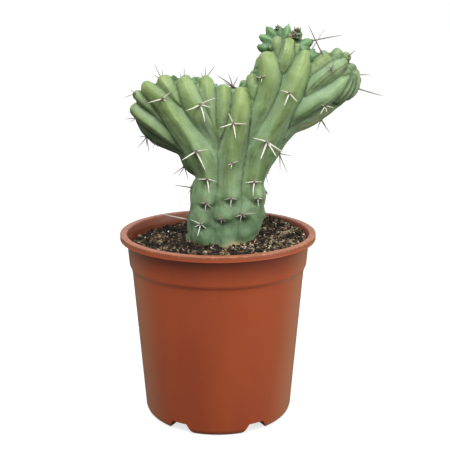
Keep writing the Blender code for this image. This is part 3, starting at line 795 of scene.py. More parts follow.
@dataclass(frozen=True)
class Viewpoint:
    """Where the photograph was taken from, as its rim and base ellipses give it."""

    place: Place = (0.0061, -0.7037, 0.3396)
    pitch_degrees: float = 13.70
    lens: float = 66.47
    sensor: float = 36.0
    picture: int = 450

    def ray(self, pixel: Pixel) -> tuple[Vector, Vector]:
        """The line of sight through a pixel.

        Args:
            pixel: The pixel, from the picture's top left.

        Returns:
            Its start and its direction.
        """
        pitch = math.radians(self.pitch_degrees)
        ahead = Vector((0, math.cos(pitch), -math.sin(pitch)))
        up = Vector((0, math.sin(pitch), math.cos(pitch)))
        scale = self.sensor / self.lens / self.picture
        middle = self.picture / 2
        across = Vector((1, 0, 0)) * (pixel[0] - middle) * scale
        return Vector(self.place), (ahead + across + up * (middle - pixel[1]) * scale).normalized()

    def ahead(self) -> Vector:
        """The direction that the camera looks in."""
        return self.ray((self.picture / 2, self.picture / 2))[1]

    def camera(self) -> Piece:
        """Makes the scene's camera.

        Returns:
            The camera object.
        """
        data = bpy.data.cameras.new("camera")
        data.lens = self.lens
        data.sensor_width = self.sensor
        made = bpy.data.objects.new("camera", data)
        made.location = self.place
        made.rotation_euler = (math.radians(90 - self.pitch_degrees), 0, 0)
        bpy.context.scene.collection.objects.link(made)
        bpy.context.scene.camera = made
        return made


@dataclass(frozen=True)
class Tint:
    """How a rib's skin differs from plain green, each from 0 to 1."""

    young: float = 0.4
    waxy: float = 0.3
    # dark lowers the rib's lightness; on the SHADED ribs it is painted shade.
    dark: float = 0.0
    scar: float = 0.0
    fresh: float = 0.0


class RibLook(Enum):
    """The looks that the plant's ribs have."""

    TRUNK = Tint(young=0.8, waxy=0.75)
    LIMB = Tint(young=0.5, waxy=0.75, scar=0.15)
    YELLOW = Tint(young=0.9, waxy=0.1, scar=0.25)
    PALE = Tint(young=0.7, waxy=0.5, scar=0.25)
    BLUE = Tint(young=0.2, waxy=0.8)
    SCARRED = Tint(young=0.3, waxy=0.5, scar=0.5, dark=0.1)
    # SHADED: ribs on the underside, painted in shade.
    SHADED = Tint(young=0.0, waxy=0.25, dark=0.55)
    KNOB = Tint(young=0.05, waxy=0.1, fresh=0.7, dark=0.1)
    DARK_KNOB = Tint(young=0.0, waxy=0.2, fresh=0.6, dark=0.5)
    FAR = Tint(young=0.5, waxy=0.5, scar=0.1)
    WRINKLED = Tint(young=0.1, waxy=0.55, scar=1.0)


NEAR, FAR = (0.0, -1.0, 0.0), (0.0, 1.0, 0.0)
LEFT_EDGE, RIGHT_EDGE = (-1.0, -0.25, -0.35), (1.0, -0.3, -0.3)


@dataclass(frozen=True)
class Section:
    """A rib's shape across: how round it is, how much wider than high, and how high its ridge stands."""

    power: float = 1.5
    root: float = 1.25
    middle: float = 1.3
    tip: float = 1.02
    ridge: float = 0.0


LIMB_SECTION = Section(ridge=1.0)
TRUNK_SECTION = Section(power=1.55, root=1.3, ridge=0.45)
FLANK_SECTION = Section(power=1.5, root=1.06, middle=1.25, ridge=1.1)
BAND_SECTION = Section(power=1.42, root=1.02, middle=1.05, tip=1.0, ridge=0.7)
EDGE_SECTION = Section(power=1.9, root=1.0, middle=1.05, tip=1.0)
ROUND_SECTION = Section(power=1.8, root=1.15, middle=1.1, tip=1.0)
KNOB_SECTION = Section(power=1.65, root=1.05, middle=1.05, tip=1.0)


@dataclass(frozen=True)
class Rib:
    """One rib of the plant."""

    name: str
    facing: Place
    knots: tuple[Knot, ...]
    look: RibLook = RibLook.LIMB
    section: Section = LIMB_SECTION
    pleats: float = 0.0


# The thick wood-like core that the ribs stand on, as (x, y, z, half width).
CORE: dict[str, tuple[Knot, ...]] = {
    "trunk": ((4, 3, 134, 17), (5, 3, 170, 20), (8, 3, 205, 19), (9, 3, 232, 18)),
    "left_limb": ((6, 3, 226, 17), (-14, 2, 246, 15), (-36, 1, 262, 13), (-54, 1, 269, 9)),
    "left_top": ((4, 3, 238, 16), (-12, 1, 262, 15), (-24, 1, 277, 11)),
    "middle": ((10, 3, 230, 16), (14, 3, 255, 14), (18, 4, 270, 10)),
    "right_limb": ((12, 3, 228, 17), (40, 2, 254, 15), (70, 1, 275, 13), (98, 1, 291, 9)),
    "right_top": ((20, 3, 240, 14), (44, 4, 275, 15), (56, 5, 298, 12), (57, 7, 314, 8)),
    "right_fill": ((50, 2, 262, 13), (72, 1, 287, 13), (88, 1, 299, 9)),
    "between_left": ((-1, 1, 205, 9), (-2, -3, 226, 11), (-4, -5, 246, 12)),
    "between_right": ((21, 0, 212, 9), (24, -4, 238, 11), (27, -5, 262, 11)),
    "head": ((52, -2, 288, 9), (53, 0, 306, 9.5), (56, 4, 318, 7.5)),
    "crest_line": (
        (-61, 2, 268, 6), (-47, 3, 279, 7.5), (-28, 3, 284, 8), (-8, 3, 282, 8), (8, 3, 276, 8),
        (20, 4, 278, 7.5), (31, 4, 290, 7), (39, 6, 304, 7), (50, 7, 316, 6), (62, 7, 319, 6.5),
        (76, 4, 311, 7), (92, 3, 307, 7), (104, 1, 301, 6.5), (111, 0, 291, 6),
    ),
    "stem_end": ((3.5, 3, 131, 20), (3.5, 3, 150, 21), (4, 3, 166, 20)),
}

# Ribs that the viewer sees, as (x, y, z, half width) along each one's middle from root to tip.
NEAR_RIBS = (
    Rib("left_edge", LEFT_EDGE, (
        (-19, 1, 148, 9.4), (-18.2, 1, 168, 9.3), (-15.8, 2, 181, 9), (-14.6, 2, 190, 9.4),
        (-14.4, 2, 200, 9.2), (-10, 2, 207, 8.5), (-9.5, 3, 214, 8.2), (-19.5, 4, 223, 10.8),
        (-28, 5, 234.5, 8.2), (-38, 5, 240, 8.6), (-49.5, 4, 246, 8.8), (-58.5, 2, 253, 7.6),
        (-64.5, 0, 261, 6),
    ), RibLook.SHADED, EDGE_SECTION),
    Rib("trunk_left", NEAR, (
        (-9, -8, 147, 9.6), (-11.5, -8.5, 164, 10.3), (-12, -9, 187, 10.2), (-9, -10, 203, 10),
        (-8, -11, 214, 9.4), (-11, -12.5, 226, 10.8), (-17, -14, 239, 11.2), (-26.5, -15, 252.5, 10.4),
        (-37.5, -15, 266, 9.2), (-48, -13, 278.5, 8.4), (-56, -10, 285, 7.2), (-58.5, -7, 287, 5.8),
    ), RibLook.TRUNK, FLANK_SECTION),
    Rib("trunk_middle", NEAR, (
        (8, -11, 146, 11), (9, -9.5, 161, 11.2), (8.5, -9, 176, 11.6), (9.5, -10, 192.5, 11.6),
        (10, -11, 210, 10.8), (11, -12, 227, 11), (13.5, -13.5, 244.5, 10.8), (17.5, -14, 261, 10.4),
        (19.5, -12.5, 274, 9), (20, -9, 283, 6.2),
    ), RibLook.TRUNK, TRUNK_SECTION),
    Rib("trunk_right", NEAR, (
        (20, -9, 147, 10), (22.5, -8, 162, 10.8), (25.5, -8, 177.5, 11.2), (28.5, -9, 194, 11),
        (28.3, -10, 203, 10.4), (28.6, -10.5, 210, 9.4), (31.2, -11.5, 219, 9.9), (35, -12.5, 230, 10.7),
        (41, -14, 246, 10.8), (49, -15, 262, 10.4), (56.5, -15.5, 276, 10.2), (62, -15, 289, 10),
        (67, -13, 301, 8.6), (71.5, -9, 313.5, 5.4),
    ), RibLook.PALE, FLANK_SECTION),
    Rib("right_edge", RIGHT_EDGE, (
        (23, 2, 148, 9.4), (25.5, 2, 162, 9.4), (29, 2, 171, 9.2), (31.6, 1, 180, 9.4), (29.5, 0, 188, 9.2),
        (31.5, -1, 196, 9.7), (28.8, 0, 208.5, 8.8), (33.5, 0, 218, 9.2), (40.5, 0, 230, 10),
        (51.5, -1, 246.5, 9.4), (61.5, -1, 257.2, 9.6), (74.5, 0, 262.6, 10), (86, 0, 270.4, 9.8),
        (101.5, 0, 280.3, 7.9), (110, 2, 286.3, 6.8), (113.8, 3, 291, 5.2),
    ), RibLook.WRINKLED, EDGE_SECTION, pleats=0.35),
    Rib("right_low", NEAR, (
        (53, -8, 257, 5), (63.5, -12, 264.5, 6.6), (73, -15, 271, 7.8), (82.5, -16, 277.5, 8.2),
        (92.5, -15, 283.5, 7.8), (100.5, -12, 290.5, 5.8), (107.5, -8, 295.5, 3),
    ), RibLook.BLUE, BAND_SECTION),
    Rib("right_mid", NEAR, (
        (70, -11, 276.5, 3.4), (77, -13, 285, 5.8), (85, -14, 294, 7.4), (94.5, -12, 301.5, 7),
        (103, -7, 306.5, 5),
    ), RibLook.SCARRED, pleats=0.15),
    Rib("right_high", (0.2, -0.8, 0.6), (
        (74, -7, 289, 3), (78, -8, 297.5, 5.4), (83.5, -9, 304.5, 6.6), (89.5, -7.5, 309.3, 5.8),
    ), RibLook.YELLOW, ROUND_SECTION),
    Rib("right_knob", NEAR, (
        (92, -3, 306, 4), (96, -4, 311.5, 5), (99.4, -3, 315.2, 4.8),
    ), RibLook.BLUE, KNOB_SECTION),
    Rib("right_fold", NEAR, (
        (97, -10, 293.5, 2), (101.5, -9, 297, 2.8), (107, -6, 299.5, 2.8),
    ), RibLook.PALE, ROUND_SECTION),
    Rib("head_right", NEAR, (
        (59.5, -8, 303, 2.4), (63, -7, 313, 3), (65.5, -4, 321, 3),
    ), RibLook.PALE, ROUND_SECTION),
    Rib("head_middle", NEAR, (
        (52, -11, 298.5, 3.2), (54.5, -12.5, 307.5, 5.4), (57, -11.5, 316, 5.8), (58.5, -7, 323.5, 4.8),
    ), RibLook.YELLOW, ROUND_SECTION, pleats=0.35),
    Rib("head_left", NEAR, (
        (50, -9, 306.5, 2.8), (49, -9, 314.5, 3.8), (49, -7, 322, 4.8), (49, -5, 325, 4.4),
    ), RibLook.PALE, ROUND_SECTION),
    Rib("head_low", NEAR, (
        (27, -12, 244, 3.4), (31, -14, 256, 5.8), (36.5, -15, 269.5, 7.4), (41, -15.5, 281.5, 7.8),
        (43, -15.5, 293, 8.4), (42, -14, 304, 8.4), (41.2, -11.5, 311, 7.4),
    ), RibLook.PALE),
    Rib("saddle", NEAR, (
        (30, -9, 269, 2.4), (29.5, -9, 278.5, 4.2), (29.5, -8, 287, 5.4), (28.5, -5, 294.5, 4.8),
    ), RibLook.PALE, ROUND_SECTION),
    Rib("left_inner", NEAR, (
        (3.5, -13, 244.5, 3.4), (3, -14.5, 255.5, 5.4), (3.5, -15, 266, 6.6), (5, -13.5, 276, 7),
        (5.5, -9, 284.8, 5.8),
    ), RibLook.PALE),
    Rib("left_high", NEAR, (
        (-0.5, -12, 240, 2.6), (-3, -14, 252.5, 4.6), (-5.5, -15, 265.5, 6.2), (-7.5, -14, 276.5, 6.8),
        (-8.6, -11, 285.7, 6.8), (-9.8, -8, 292.3, 5.7),
    ), RibLook.PALE),
    Rib("left_broad", NEAR, (
        (-1.5, -13, 238.5, 3.4), (-6.5, -15, 249.5, 5.8), (-13, -17, 262, 7.8), (-19.5, -17, 274.5, 8.2),
        (-24.7, -15, 284.5, 7.4), (-27.9, -11, 291.2, 6.3),
    ), RibLook.PALE),
    Rib("left_yellow", NEAR, (
        (-28, -13, 268.5, 2.4), (-33.5, -13, 277.5, 4.6), (-39.5, -11, 285.8, 6.4), (-44.8, -8, 291.8, 6.5),
    ), RibLook.YELLOW),
    Rib("left_thin", NEAR, (
        (-33, -11, 248, 2.6), (-44, -12, 261, 3.6), (-53, -11.5, 270, 4.6), (-60.5, -10, 276.2, 5),
        (-66.8, -6, 281, 4.6),
    ), RibLook.LIMB, ROUND_SECTION),
    Rib("left_low", (-0.3, -1.0, -0.2), (
        (-27, -3, 234.5, 3.2), (-39.5, -8, 245.5, 5.8), (-51.5, -9, 256, 7.6), (-63, -6, 264.5, 8),
        (-67, -4, 268.5, 7.6),
    ), RibLook.LIMB, BAND_SECTION),
    Rib("pleat_low", NEAR, (
        (96, -12, 275.5, 2.2), (102.5, -12, 281.5, 2.6), (107.5, -10, 288, 2.6), (111, -7, 294.5, 2.2),
    ), RibLook.BLUE, ROUND_SECTION),
    Rib("pleat_middle", NEAR, (
        (100, -9, 274, 2.2), (106.5, -9, 279.5, 2.6), (111.5, -7, 287, 2.6), (113.5, -4, 294.5, 2.4),
    ), RibLook.SHADED, ROUND_SECTION),
    Rib("end_lobe", NEAR, (
        (106.5, -5, 278, 2.8), (112.4, -4, 283, 3.4), (115.8, -2, 290.5, 3.5), (116, 0, 296, 3.4),
        (115.2, 2, 300, 3.3),
    ), RibLook.LIMB, ROUND_SECTION),
)

# Ribs of the far face, as (x, y, z, half width) of each tip, and the numbers of those that reach the soil.
FAR_TIPS = (
    (-66, 9, 267, 6.5), (-58, 9, 278.5, 7), (-48, 10, 287.5, 6), (-38, 10, 292.5, 4.6), (-28, 11, 291.5, 6),
    (-18, 11, 291.5, 4.7), (-7, 11, 286, 6), (4, 11, 284, 6), (13, 12, 282, 6), (23, 12, 288.5, 5),
    (32, 13, 297, 5), (37.5, 14, 308, 5), (80, 11, 310.6, 7), (90, 10, 312, 6), (99, 9, 313.2, 5),
    (107.8, 7, 311.5, 5), (112.8, 5, 302, 5.2), (116.8, 4, 293, 5.2),
)
FAR_ROOTED = (1, 5, 8, 15)
FAR_FAN_ROOT = (12, 12, 224)
FAR_FAN = ((0.35, 3, 1.1), (0.62, 5, 1.15), (0.86, 3, 1.1))
FAR_STEM_SPREAD = 0.2
STEM_X = 3.5

# The crown: short pointed knobs round the head, as (x, y, z, half width) from root to point.
CROWN = (
    Rib("knob_left", FAR, (
        (47, 6, 317, 4.2), (41, 6, 318.2, 4.6), (35.6, 6, 319.4, 3.4), (33, 6, 320, 1),
    ), RibLook.DARK_KNOB, KNOB_SECTION),
    Rib("knob_left_high", FAR, (
        (48, 9, 323, 4), (42, 10, 325.5, 4.4), (37, 10, 327.5, 3.4), (34.8, 10, 328.3, 1),
    ), RibLook.KNOB, KNOB_SECTION),
    Rib("knob_high", FAR, (
        (50, 11, 324, 4), (46, 12, 329.5, 4.6), (42.5, 13.5, 333.5, 3.6), (40.8, 14, 335.3, 1.2),
    ), RibLook.DARK_KNOB, KNOB_SECTION),
    Rib("knob_top", FAR, (
        (53, 12, 323, 4), (52, 14, 330, 4.2), (51, 15.5, 335, 3.4), (50.6, 16, 336.6, 1.6),
    ), RibLook.DARK_KNOB, KNOB_SECTION),
    Rib("knob_bright", FAR, (
        (57, 12, 323, 4), (58, 13.5, 330, 4.4), (59, 15, 335.5, 3), (59.6, 15, 337.8, 0.8),
    ), RibLook.KNOB, KNOB_SECTION),
    Rib("knob_dried", FAR, (
        (63, 9, 320, 4), (65.6, 10.5, 327, 4.8), (67.4, 12, 331.5, 4.1), (68, 12, 333, 2.2),
    ), RibLook.DARK_KNOB, KNOB_SECTION),
    Rib("knob_right", FAR, (
        (66, 6, 319, 4), (72, 6.5, 321.5, 4.8), (77, 6.5, 323.5, 3.6), (79.4, 6, 324.5, 1),
    ), RibLook.DARK_KNOB, KNOB_SECTION),
    Rib("knob_small", FAR, (
        (46, 1, 316, 1.8), (43, 0.5, 319.5, 1.9), (42.6, 0.5, 321, 1),
    ), RibLook.PALE, KNOB_SECTION),
    Rib("knob_side", FAR, (
        (39, 4, 299, 2.5), (35.2, 4, 303, 2.5), (34.2, 4, 305, 1.4),
    ), RibLook.KNOB, KNOB_SECTION),
    Rib("knob_side_low", FAR, (
        (37.6, 3, 295, 2.5), (33.6, 3, 298.8, 2.6), (31.8, 3, 300, 1.2),
    ), RibLook.KNOB, KNOB_SECTION),
    Rib("knob_saddle", FAR, (
        (25, 6, 285, 2.6), (22.6, 6, 288.4, 2.4), (21.8, 6, 289.6, 1.3),
    ), RibLook.KNOB, KNOB_SECTION),
    Rib("knob_neck", FAR, (
        (78, 4, 308, 2.6), (81, 4, 313.5, 2.4), (81.4, 4, 315.5, 1.4),
    ), RibLook.DARK_KNOB, KNOB_SECTION),
    Rib("knob_behind_low", FAR, (
        (-37, 8, 287, 3), (-37, 8, 293.4, 2.8), (-37, 8, 295.8, 1.6),
    ), RibLook.KNOB, KNOB_SECTION),
    Rib("knob_behind", FAR, (
        (-20, 8, 285, 3.4), (-20, 8, 291.9, 3.2), (-20, 8, 294.3, 1.8),
    ), RibLook.KNOB, KNOB_SECTION),
    Rib("knob_behind_high", FAR, (
        (-1, 5, 281, 3), (-1.5, 5, 286.5, 2.6), (-1.5, 5, 288.6, 1.6),
    ), RibLook.KNOB, KNOB_SECTION),
    Rib("head_rear", FAR, (
        (60, 2, 290, 8), (60, 3, 306, 9), (59, 4, 317, 8.5), (59, 5, 322, 6.5),
    ), RibLook.DARK_KNOB, ROUND_SECTION),
    Rib("neck_rear", FAR, (
        (72, 2, 296, 5), (76, 2, 306, 4.6), (78.5, 2, 313, 3.6), (79.5, 3, 317, 2.6),
    ), RibLook.DARK_KNOB, ROUND_SECTION),
)


def far_rib(number: int) -> Rib:
    """A rib of the far face, up the back of the stem and out along the fan to its tip.

    Args:
        number: Its place in the fan.

    Returns:
        The rib.
    """
    tip, rooted = FAR_TIPS[number], number in FAR_ROOTED
    fan, half_width = np.array(FAR_FAN_ROOT, float), tip[3]
    out = np.array(tip[:3]) - fan
    if rooted:
        x = STEM_X + FAR_STEM_SPREAD * out[0]
        knots = [(0.6 * x, 4, 150, 7.5), (0.9 * x, 12, 167, 10.5), (x + 2, 14, 188, 10), (x + 5, 14, 208, 10)]
    else:
        knots = [(fan[0] + 0.16 * out[0], 2, fan[2] + 0.16 * out[2], half_width)]
    for share, bulge, widening in FAR_FAN:
        x, y, z = fan + out * share
        knots.append((x, y + bulge, z, widening * half_width))
    look = RibLook.TRUNK if rooted else RibLook.FAR
    return Rib(f"far_{number}", FAR, (*knots, tip), look, ROUND_SECTION)


def all_ribs() -> tuple[Rib, ...]:
    """Every rib of the plant, near, far and crown."""
    return (*NEAR_RIBS, *map(far_rib, range(len(FAR_TIPS))), *CROWN)


# Marks at an areole: each one's middle over it, its half width and its half height, in millimetres.
# UNDER is where the painted shadow under the chin lies.
NOTCH, UNDER, OVER = (-5.4, 5.0, 2.4), (-4.6, 3.8, 2.6), (3.4, 3.6, 2.8)


def mark(side: Array, up: Array, spot: Place) -> Array:
    """How far inside a soft oval mark each point lies, by its way beside the areole and over it."""
    return bell(side / spot[1], (up - spot[0]) / spot[2])


def under_line(height: Array, top: float, fade: float) -> Array:
    """0 above a height, and rising to 1 over the way down that the fade gives."""
    return np.clip((top - height) / fade, 0, 1)


@dataclass
class CactusBody:
    """The crested plant without its spines: ribs on a core, grown together into one skin."""

    view: Viewpoint
    voxel: float = 0.98 * MM
    smoothing: int = 2
    fill_rounds: int = 39
    fill_reach: float = 7.0
    step: float = 2.0
    sides: int = 24
    tip_share: float = 0.8
    furrow_reach: float = 2.4
    furrow_depth: float = 0.95
    line_width: float = 0.9
    chin_height: float = 0.9
    chin_reach: float = 4.4
    chin_range: float = 20.0
    ledge_top: float = 218.0
    ledge_fade: float = 28.0
    foot_top: float = 215.0
    foot_fade: float = 40.0
    limb_top: float = 268.0
    limb_fade: float = 30.0
    ridge_height: float = 1.5
    ridge_width: float = 2.2
    foot_lumps: float = 3.0
    soil_line: float = 154.5
    ribs: tuple[Rib, ...] = field(default_factory=all_ribs)
    lines: list[Array] = field(default_factory=list)

    def build(self) -> Piece:
        """Makes the skin and its masks.

        Returns:
            The body, with no finish yet.
        """
        self.lines = [smooth_line(rib.knots, self.step) for rib in self.ribs]
        batch = MeshBatch()
        for knots in CORE.values():
            line = rounded_end(smooth_line(knots, self.step), self.tip_share)
            batch.add(*tube(line, self.sides), scale=MM)
        for rib, line in zip(self.ribs, self.lines):
            full, shape = rounded_end(line, self.tip_share), rib.section
            share = np.linspace(0, 1, len(full))
            spread = np.interp(share, [0, 0.5, 1], [shape.root, shape.middle, shape.tip])
            power = np.interp(share, [0, 0.75, 1], [shape.power, shape.power, 2.0])
            batch.add(*tube(full, self.sides, rib.facing, power, spread), scale=MM)
        body = batch.build("crested_cactus_skin")
        modify(body, "REMESH", mode="VOXEL", voxel_size=self.voxel)
        modify(body, "SMOOTH", iterations=self.smoothing)
        self.detail(body)
        return body

    def seats(self, body: Piece) -> Array:
        """Where the photograph's areoles sit on the skin, in millimetres, each with its mound's share."""
        seats = []
        for areole in AREOLES:
            start, direction = self.view.ray(areole.middle)
            hit, place, _, _ = body.ray_cast(start, direction)
            if hit:
                seats.append((*(place / MM), areole.mound))
        return np.array(seats)

    def chins(self, points: Array, seats: Array) -> tuple[Array, Array, Array]:
        """The chin over each areole, which is a ledge low on the stem, with the marks beside it.

        Args:
            points: The skin's points.
            seats: The areoles' places and their mounds' shares.

        Returns:
            How far each point stands out, in millimetres, and the masks of the painted shade under it and
            the scar over it.
        """
        lift, shade, scar = (np.zeros(len(points)) for _ in range(3))
        for (*seat, mound) in seats:
            away = points - seat
            near = np.flatnonzero(np.sum(away**2, axis=1) < self.chin_range**2)
            side, up = np.hypot(away[near, 0], away[near, 1]), away[near, 2] - 1.0
            low = float(under_line(seat[2], self.ledge_top, self.ledge_fade))
            reach = self.chin_reach * (1 + 0.6 * low)
            fall = np.where(up > 0, 1.3 * reach, 0.45 * reach)
            bulge = mound * self.chin_height * (0.8 + 3.4 * low) * bell(side / reach, up / fall)
            notch = 1.6 * low * mark(side, up, NOTCH)
            lift[near] = np.where(bulge > np.abs(lift[near]), bulge, lift[near]) - notch
            # Painted shadow under the chin.
            under = (0.55 + 0.45 * low) * mark(side, up, UNDER)
            shade[near] = np.maximum(shade[near], under)
            over = mark(side, up, OVER)
            scar[near] = np.maximum(scar[near], (0.25 + 0.75 * low) * over)
        return lift, shade, scar

    def fill_furrows(self, mesh: Mesh, points: Array, normals: Array, much: Array) -> Array:
        """Fills the furrows softly: a hollow place moves out towards its neighbours and a high one stays.

        Args:
            mesh: The skin.
            points: Its points, in millimetres.
            normals: Its normals.
            much: How fully each point may be filled, from 0 to 1.

        Returns:
            The points' new places.
        """
        ends = np.zeros(2 * len(mesh.edges), np.int32)
        mesh.edges.foreach_get("vertices", ends)
        first, second = ends.reshape(-1, 2).T
        here, there = np.concatenate([first, second]), np.concatenate([second, first])
        count = np.bincount(here, minlength=len(points))[:, None]
        for _ in range(self.fill_rounds):
            sums = [np.bincount(here, points[there, axis], len(points)) for axis in range(3)]
            gap = np.sum((np.stack(sums, axis=1) / count - points) * normals, axis=1)
            points = points + normals * (np.maximum(gap, 0) * much)[:, None]
        return points

    def detail(self, body: Piece) -> None:
        """Cuts the furrows, raises the fine relief, and keeps the masks that the finish reads.

        Args:
            body: The skin.
        """
        mesh = body.data
        points, normals = read_points(mesh) / MM, read_points(mesh, "normal")
        depth, row = self.depths(points)
        order = np.argsort(depth, axis=0)[:2]
        nearest, here = order[0], np.arange(len(points))
        apart = depth[order[1], here] - depth[nearest, here]
        weight = np.exp(-np.maximum(depth, -2) / 1.2)
        weight /= weight.sum(axis=0)
        along, across, crest, tip = self.rib_places(points, nearest, row)
        low = under_line(points[:, 2], self.foot_top, self.foot_fade)
        seats = self.seats(body)
        chin, under, over = self.chins(points, seats)
        beside = np.abs(across - self.ridge_shift(points, seats, nearest, along, across))
        traits = np.array([(rib.pleats, rib in CROWN, rib.section.ridge) for rib in self.ribs])
        pleats, knobs, ridges = traits[nearest].T
        much = np.where(knobs, 0.12, 1 - 0.9 * tip) * bell(apart / self.fill_reach)
        points = self.fill_furrows(mesh, points, normals, much)
        furrow = self.furrow_depth * (0.4 + 0.9 * tip) * (1 - 0.4 * low) * np.exp(-apart / self.furrow_reach)
        sharp = ridges * (1 - 0.75 * tip) * (1 - 0.8 * low)
        ridge = self.ridge_height * np.exp(-beside / self.ridge_width) - 0.7 * bell((beside - 6.0) / 3.0)
        relief = chin - furrow + sharp * ridge + pleats * np.cos(across * 1.9)
        relief += 0.35 * cloud(points, 9) + 0.12 * cloud(points, 2.6)
        relief += self.foot_lumps * low * cloud(points, 11, (5, 0, 0))
        relief += 0.4 * low * cloud(points, 5, (9, 0, 0))
        points += normals * relief[:, None]
        mesh.vertices.foreach_set("co", (points * MM).astype(np.float32).ravel())
        mesh.update()
        mesh.shade_smooth()
        facing = read_points(mesh, "normal")[:, 2]
        looks = np.array([astuple(rib.look.value) for rib in self.ribs]).T
        masks = {trait.name: values @ weight for trait, values in zip(fields(Tint), looks)}
        masks["young"] = np.clip(masks["young"] * (0.25 + 0.85 * tip) * (0.6 + 0.4 * crest), 0, 1)
        masks["young"] *= 1 - low
        masks["scar"] *= 0.6 + 0.4 * tip
        masks["waxy"] = np.clip(masks["waxy"] * 0.6 * (1 - 0.7 * tip) + 0.5 * low, 0, 1)
        masks["cork"] = self.cork(points)
        # Where the finish paints the furrows dark, as shade.
        line = bell(apart / self.line_width) + (0.25 + 0.3 * tip) * bell(apart / 3.2)
        masks["furrow"] = line * (0.45 + 0.75 * tip) * (1 - 0.45 * low)
        lower = 0.45 + 0.55 * under_line(points[:, 2], self.limb_top, self.limb_fade)
        masks["verge"] = bell((apart - 3.4) / 2.2) * lower * (1 - 0.6 * low)
        # Painted light and shade: how far the skin faces up, which the finish paints paler above and darker
        # below.
        masks["sky"] = 0.5 + 0.62 * facing - 0.45 * tip * np.maximum(facing, 0)
        masks |= {"crest": crest, "under": under, "over": over, "low": low}
        for name, values in masks.items():
            keep_mask(mesh, name, np.clip(values, 0, 1))
        keep_mask(mesh, "rib_place", np.stack([along, across, nearest * 7.0], axis=1))

    def depths(self, points: Array) -> tuple[Array, Array]:
        """How deep each point lies in every rib.

        Args:
            points: The skin's points.

        Returns:
            The way out from each rib's surface and the nearest row of its line, a row of values for each rib.
        """
        depth, row = [], []
        for line in self.lines:
            squares = np.sum(points**2, 1)[:, None] + np.sum(line[:, :3] ** 2, 1) - 2 * points @ line[:, :3].T
            away = np.sqrt(np.maximum(squares, 0)) - line[:, 3]
            row.append(np.argmin(away, axis=1))
            depth.append(away[np.arange(len(points)), row[-1]])
        return np.array(depth), np.array(row)

    def ridge_shift(self, points: Array, seats: Array, rib: Array, along: Array, across: Array) -> Array:
        """How far beside its rib's middle each point's ridge runs, so that it passes through the areoles.

        Args:
            points: The skin's points.
            seats: The areoles' places.
            rib: The number of each point's rib.
            along: The way along the rib.
            across: The way across it.

        Returns:
            The ridge's way across at each point.
        """
        nearest = [int(np.argmin(np.sum((points - seat[:3]) ** 2, axis=1))) for seat in seats]
        shift = np.zeros(len(points))
        for number in set(rib[nearest].tolist()):
            knots = sorted((along[i], np.clip(across[i], -4.5, 4.5)) for i in nearest if rib[i] == number)
            here = rib == number
            shift[here] = np.interp(along[here], *zip(*knots))
        return shift

    def rib_places(self, points: Array, rib: Array, row: Array) -> tuple[Array, Array, Array, Array]:
        """Where each point lies on its rib.

        Args:
            points: The skin's points.
            rib: The number of each point's rib.
            row: The nearest row of every rib's line for every point.

        Returns:
            The way along the rib, the way across it from its crest, how near the crest it is and how near
            the tip, the last two from 0 to 1.
        """
        along, across, crest, tip = np.zeros((4, len(points)))
        for number, line in enumerate(self.lines):
            mine = np.flatnonzero(rib == number)
            if not len(mine):
                continue
            rows = row[number, mine]
            direction = unit(np.gradient(line[:, :3], axis=0))
            out = upright(self.ribs[number].facing, direction)
            side = np.cross(direction, out)
            lengths = np.concatenate([[0], np.cumsum(np.linalg.norm(np.diff(line[:, :3], axis=0), axis=1))])
            away = points[mine] - line[rows, :3]
            beyond = np.sum(away * direction[rows], axis=1)
            along[mine] = lengths[rows] + beyond
            across[mine] = np.sum(away * side[rows], axis=1)
            facing = np.sum(unit(away) * out[rows], axis=1)
            crest[mine] = np.clip((facing - 0.35) / 0.6, 0, 1)
            tip[mine] = np.clip(1 - (lengths[-1] - along[mine]) / (26 + 0.25 * lengths[-1]), 0, 1)
        return along, across, crest, tip

    def cork(self, points: Array) -> Array:
        """How corky the skin is: in a ragged collar at the soil line and on one patch in front.

        Args:
            points: The skin's points.

        Returns:
            A mask from 0 to 1.
        """
        above = points[:, 2] - self.soil_line
        patch = np.where(points[:, 1] < 0, bell((points[:, 0] - 14.5) / 8, above / 3.6), 0)
        collar = np.clip(1 - (above - 1.5 * cloud(points, 5)) / 2.2, 0, 1)
        return np.clip(0.75 * patch + 0.3 * collar, 0, 1)


class GreyingAndShade(Enum):
    """How grey a spine is drawn, which sets its colour: partly its own greying, partly painted shade on
    spines along the outline and in the plant's shadow.
    """

    IVORY = 0.0
    GREYING = 0.35
    GREY = 0.6
    DARK = 0.9


@dataclass(frozen=True)
class Areole:
    """A spine cluster that the photograph shows: the pixels of its middle and of each spine's point."""

    middle: Pixel
    points: tuple[Pixel, ...]
    age: GreyingAndShade = GreyingAndShade.IVORY
    lift: float = 0.42
    stout: float = 1.0
    mound: float = 1.0


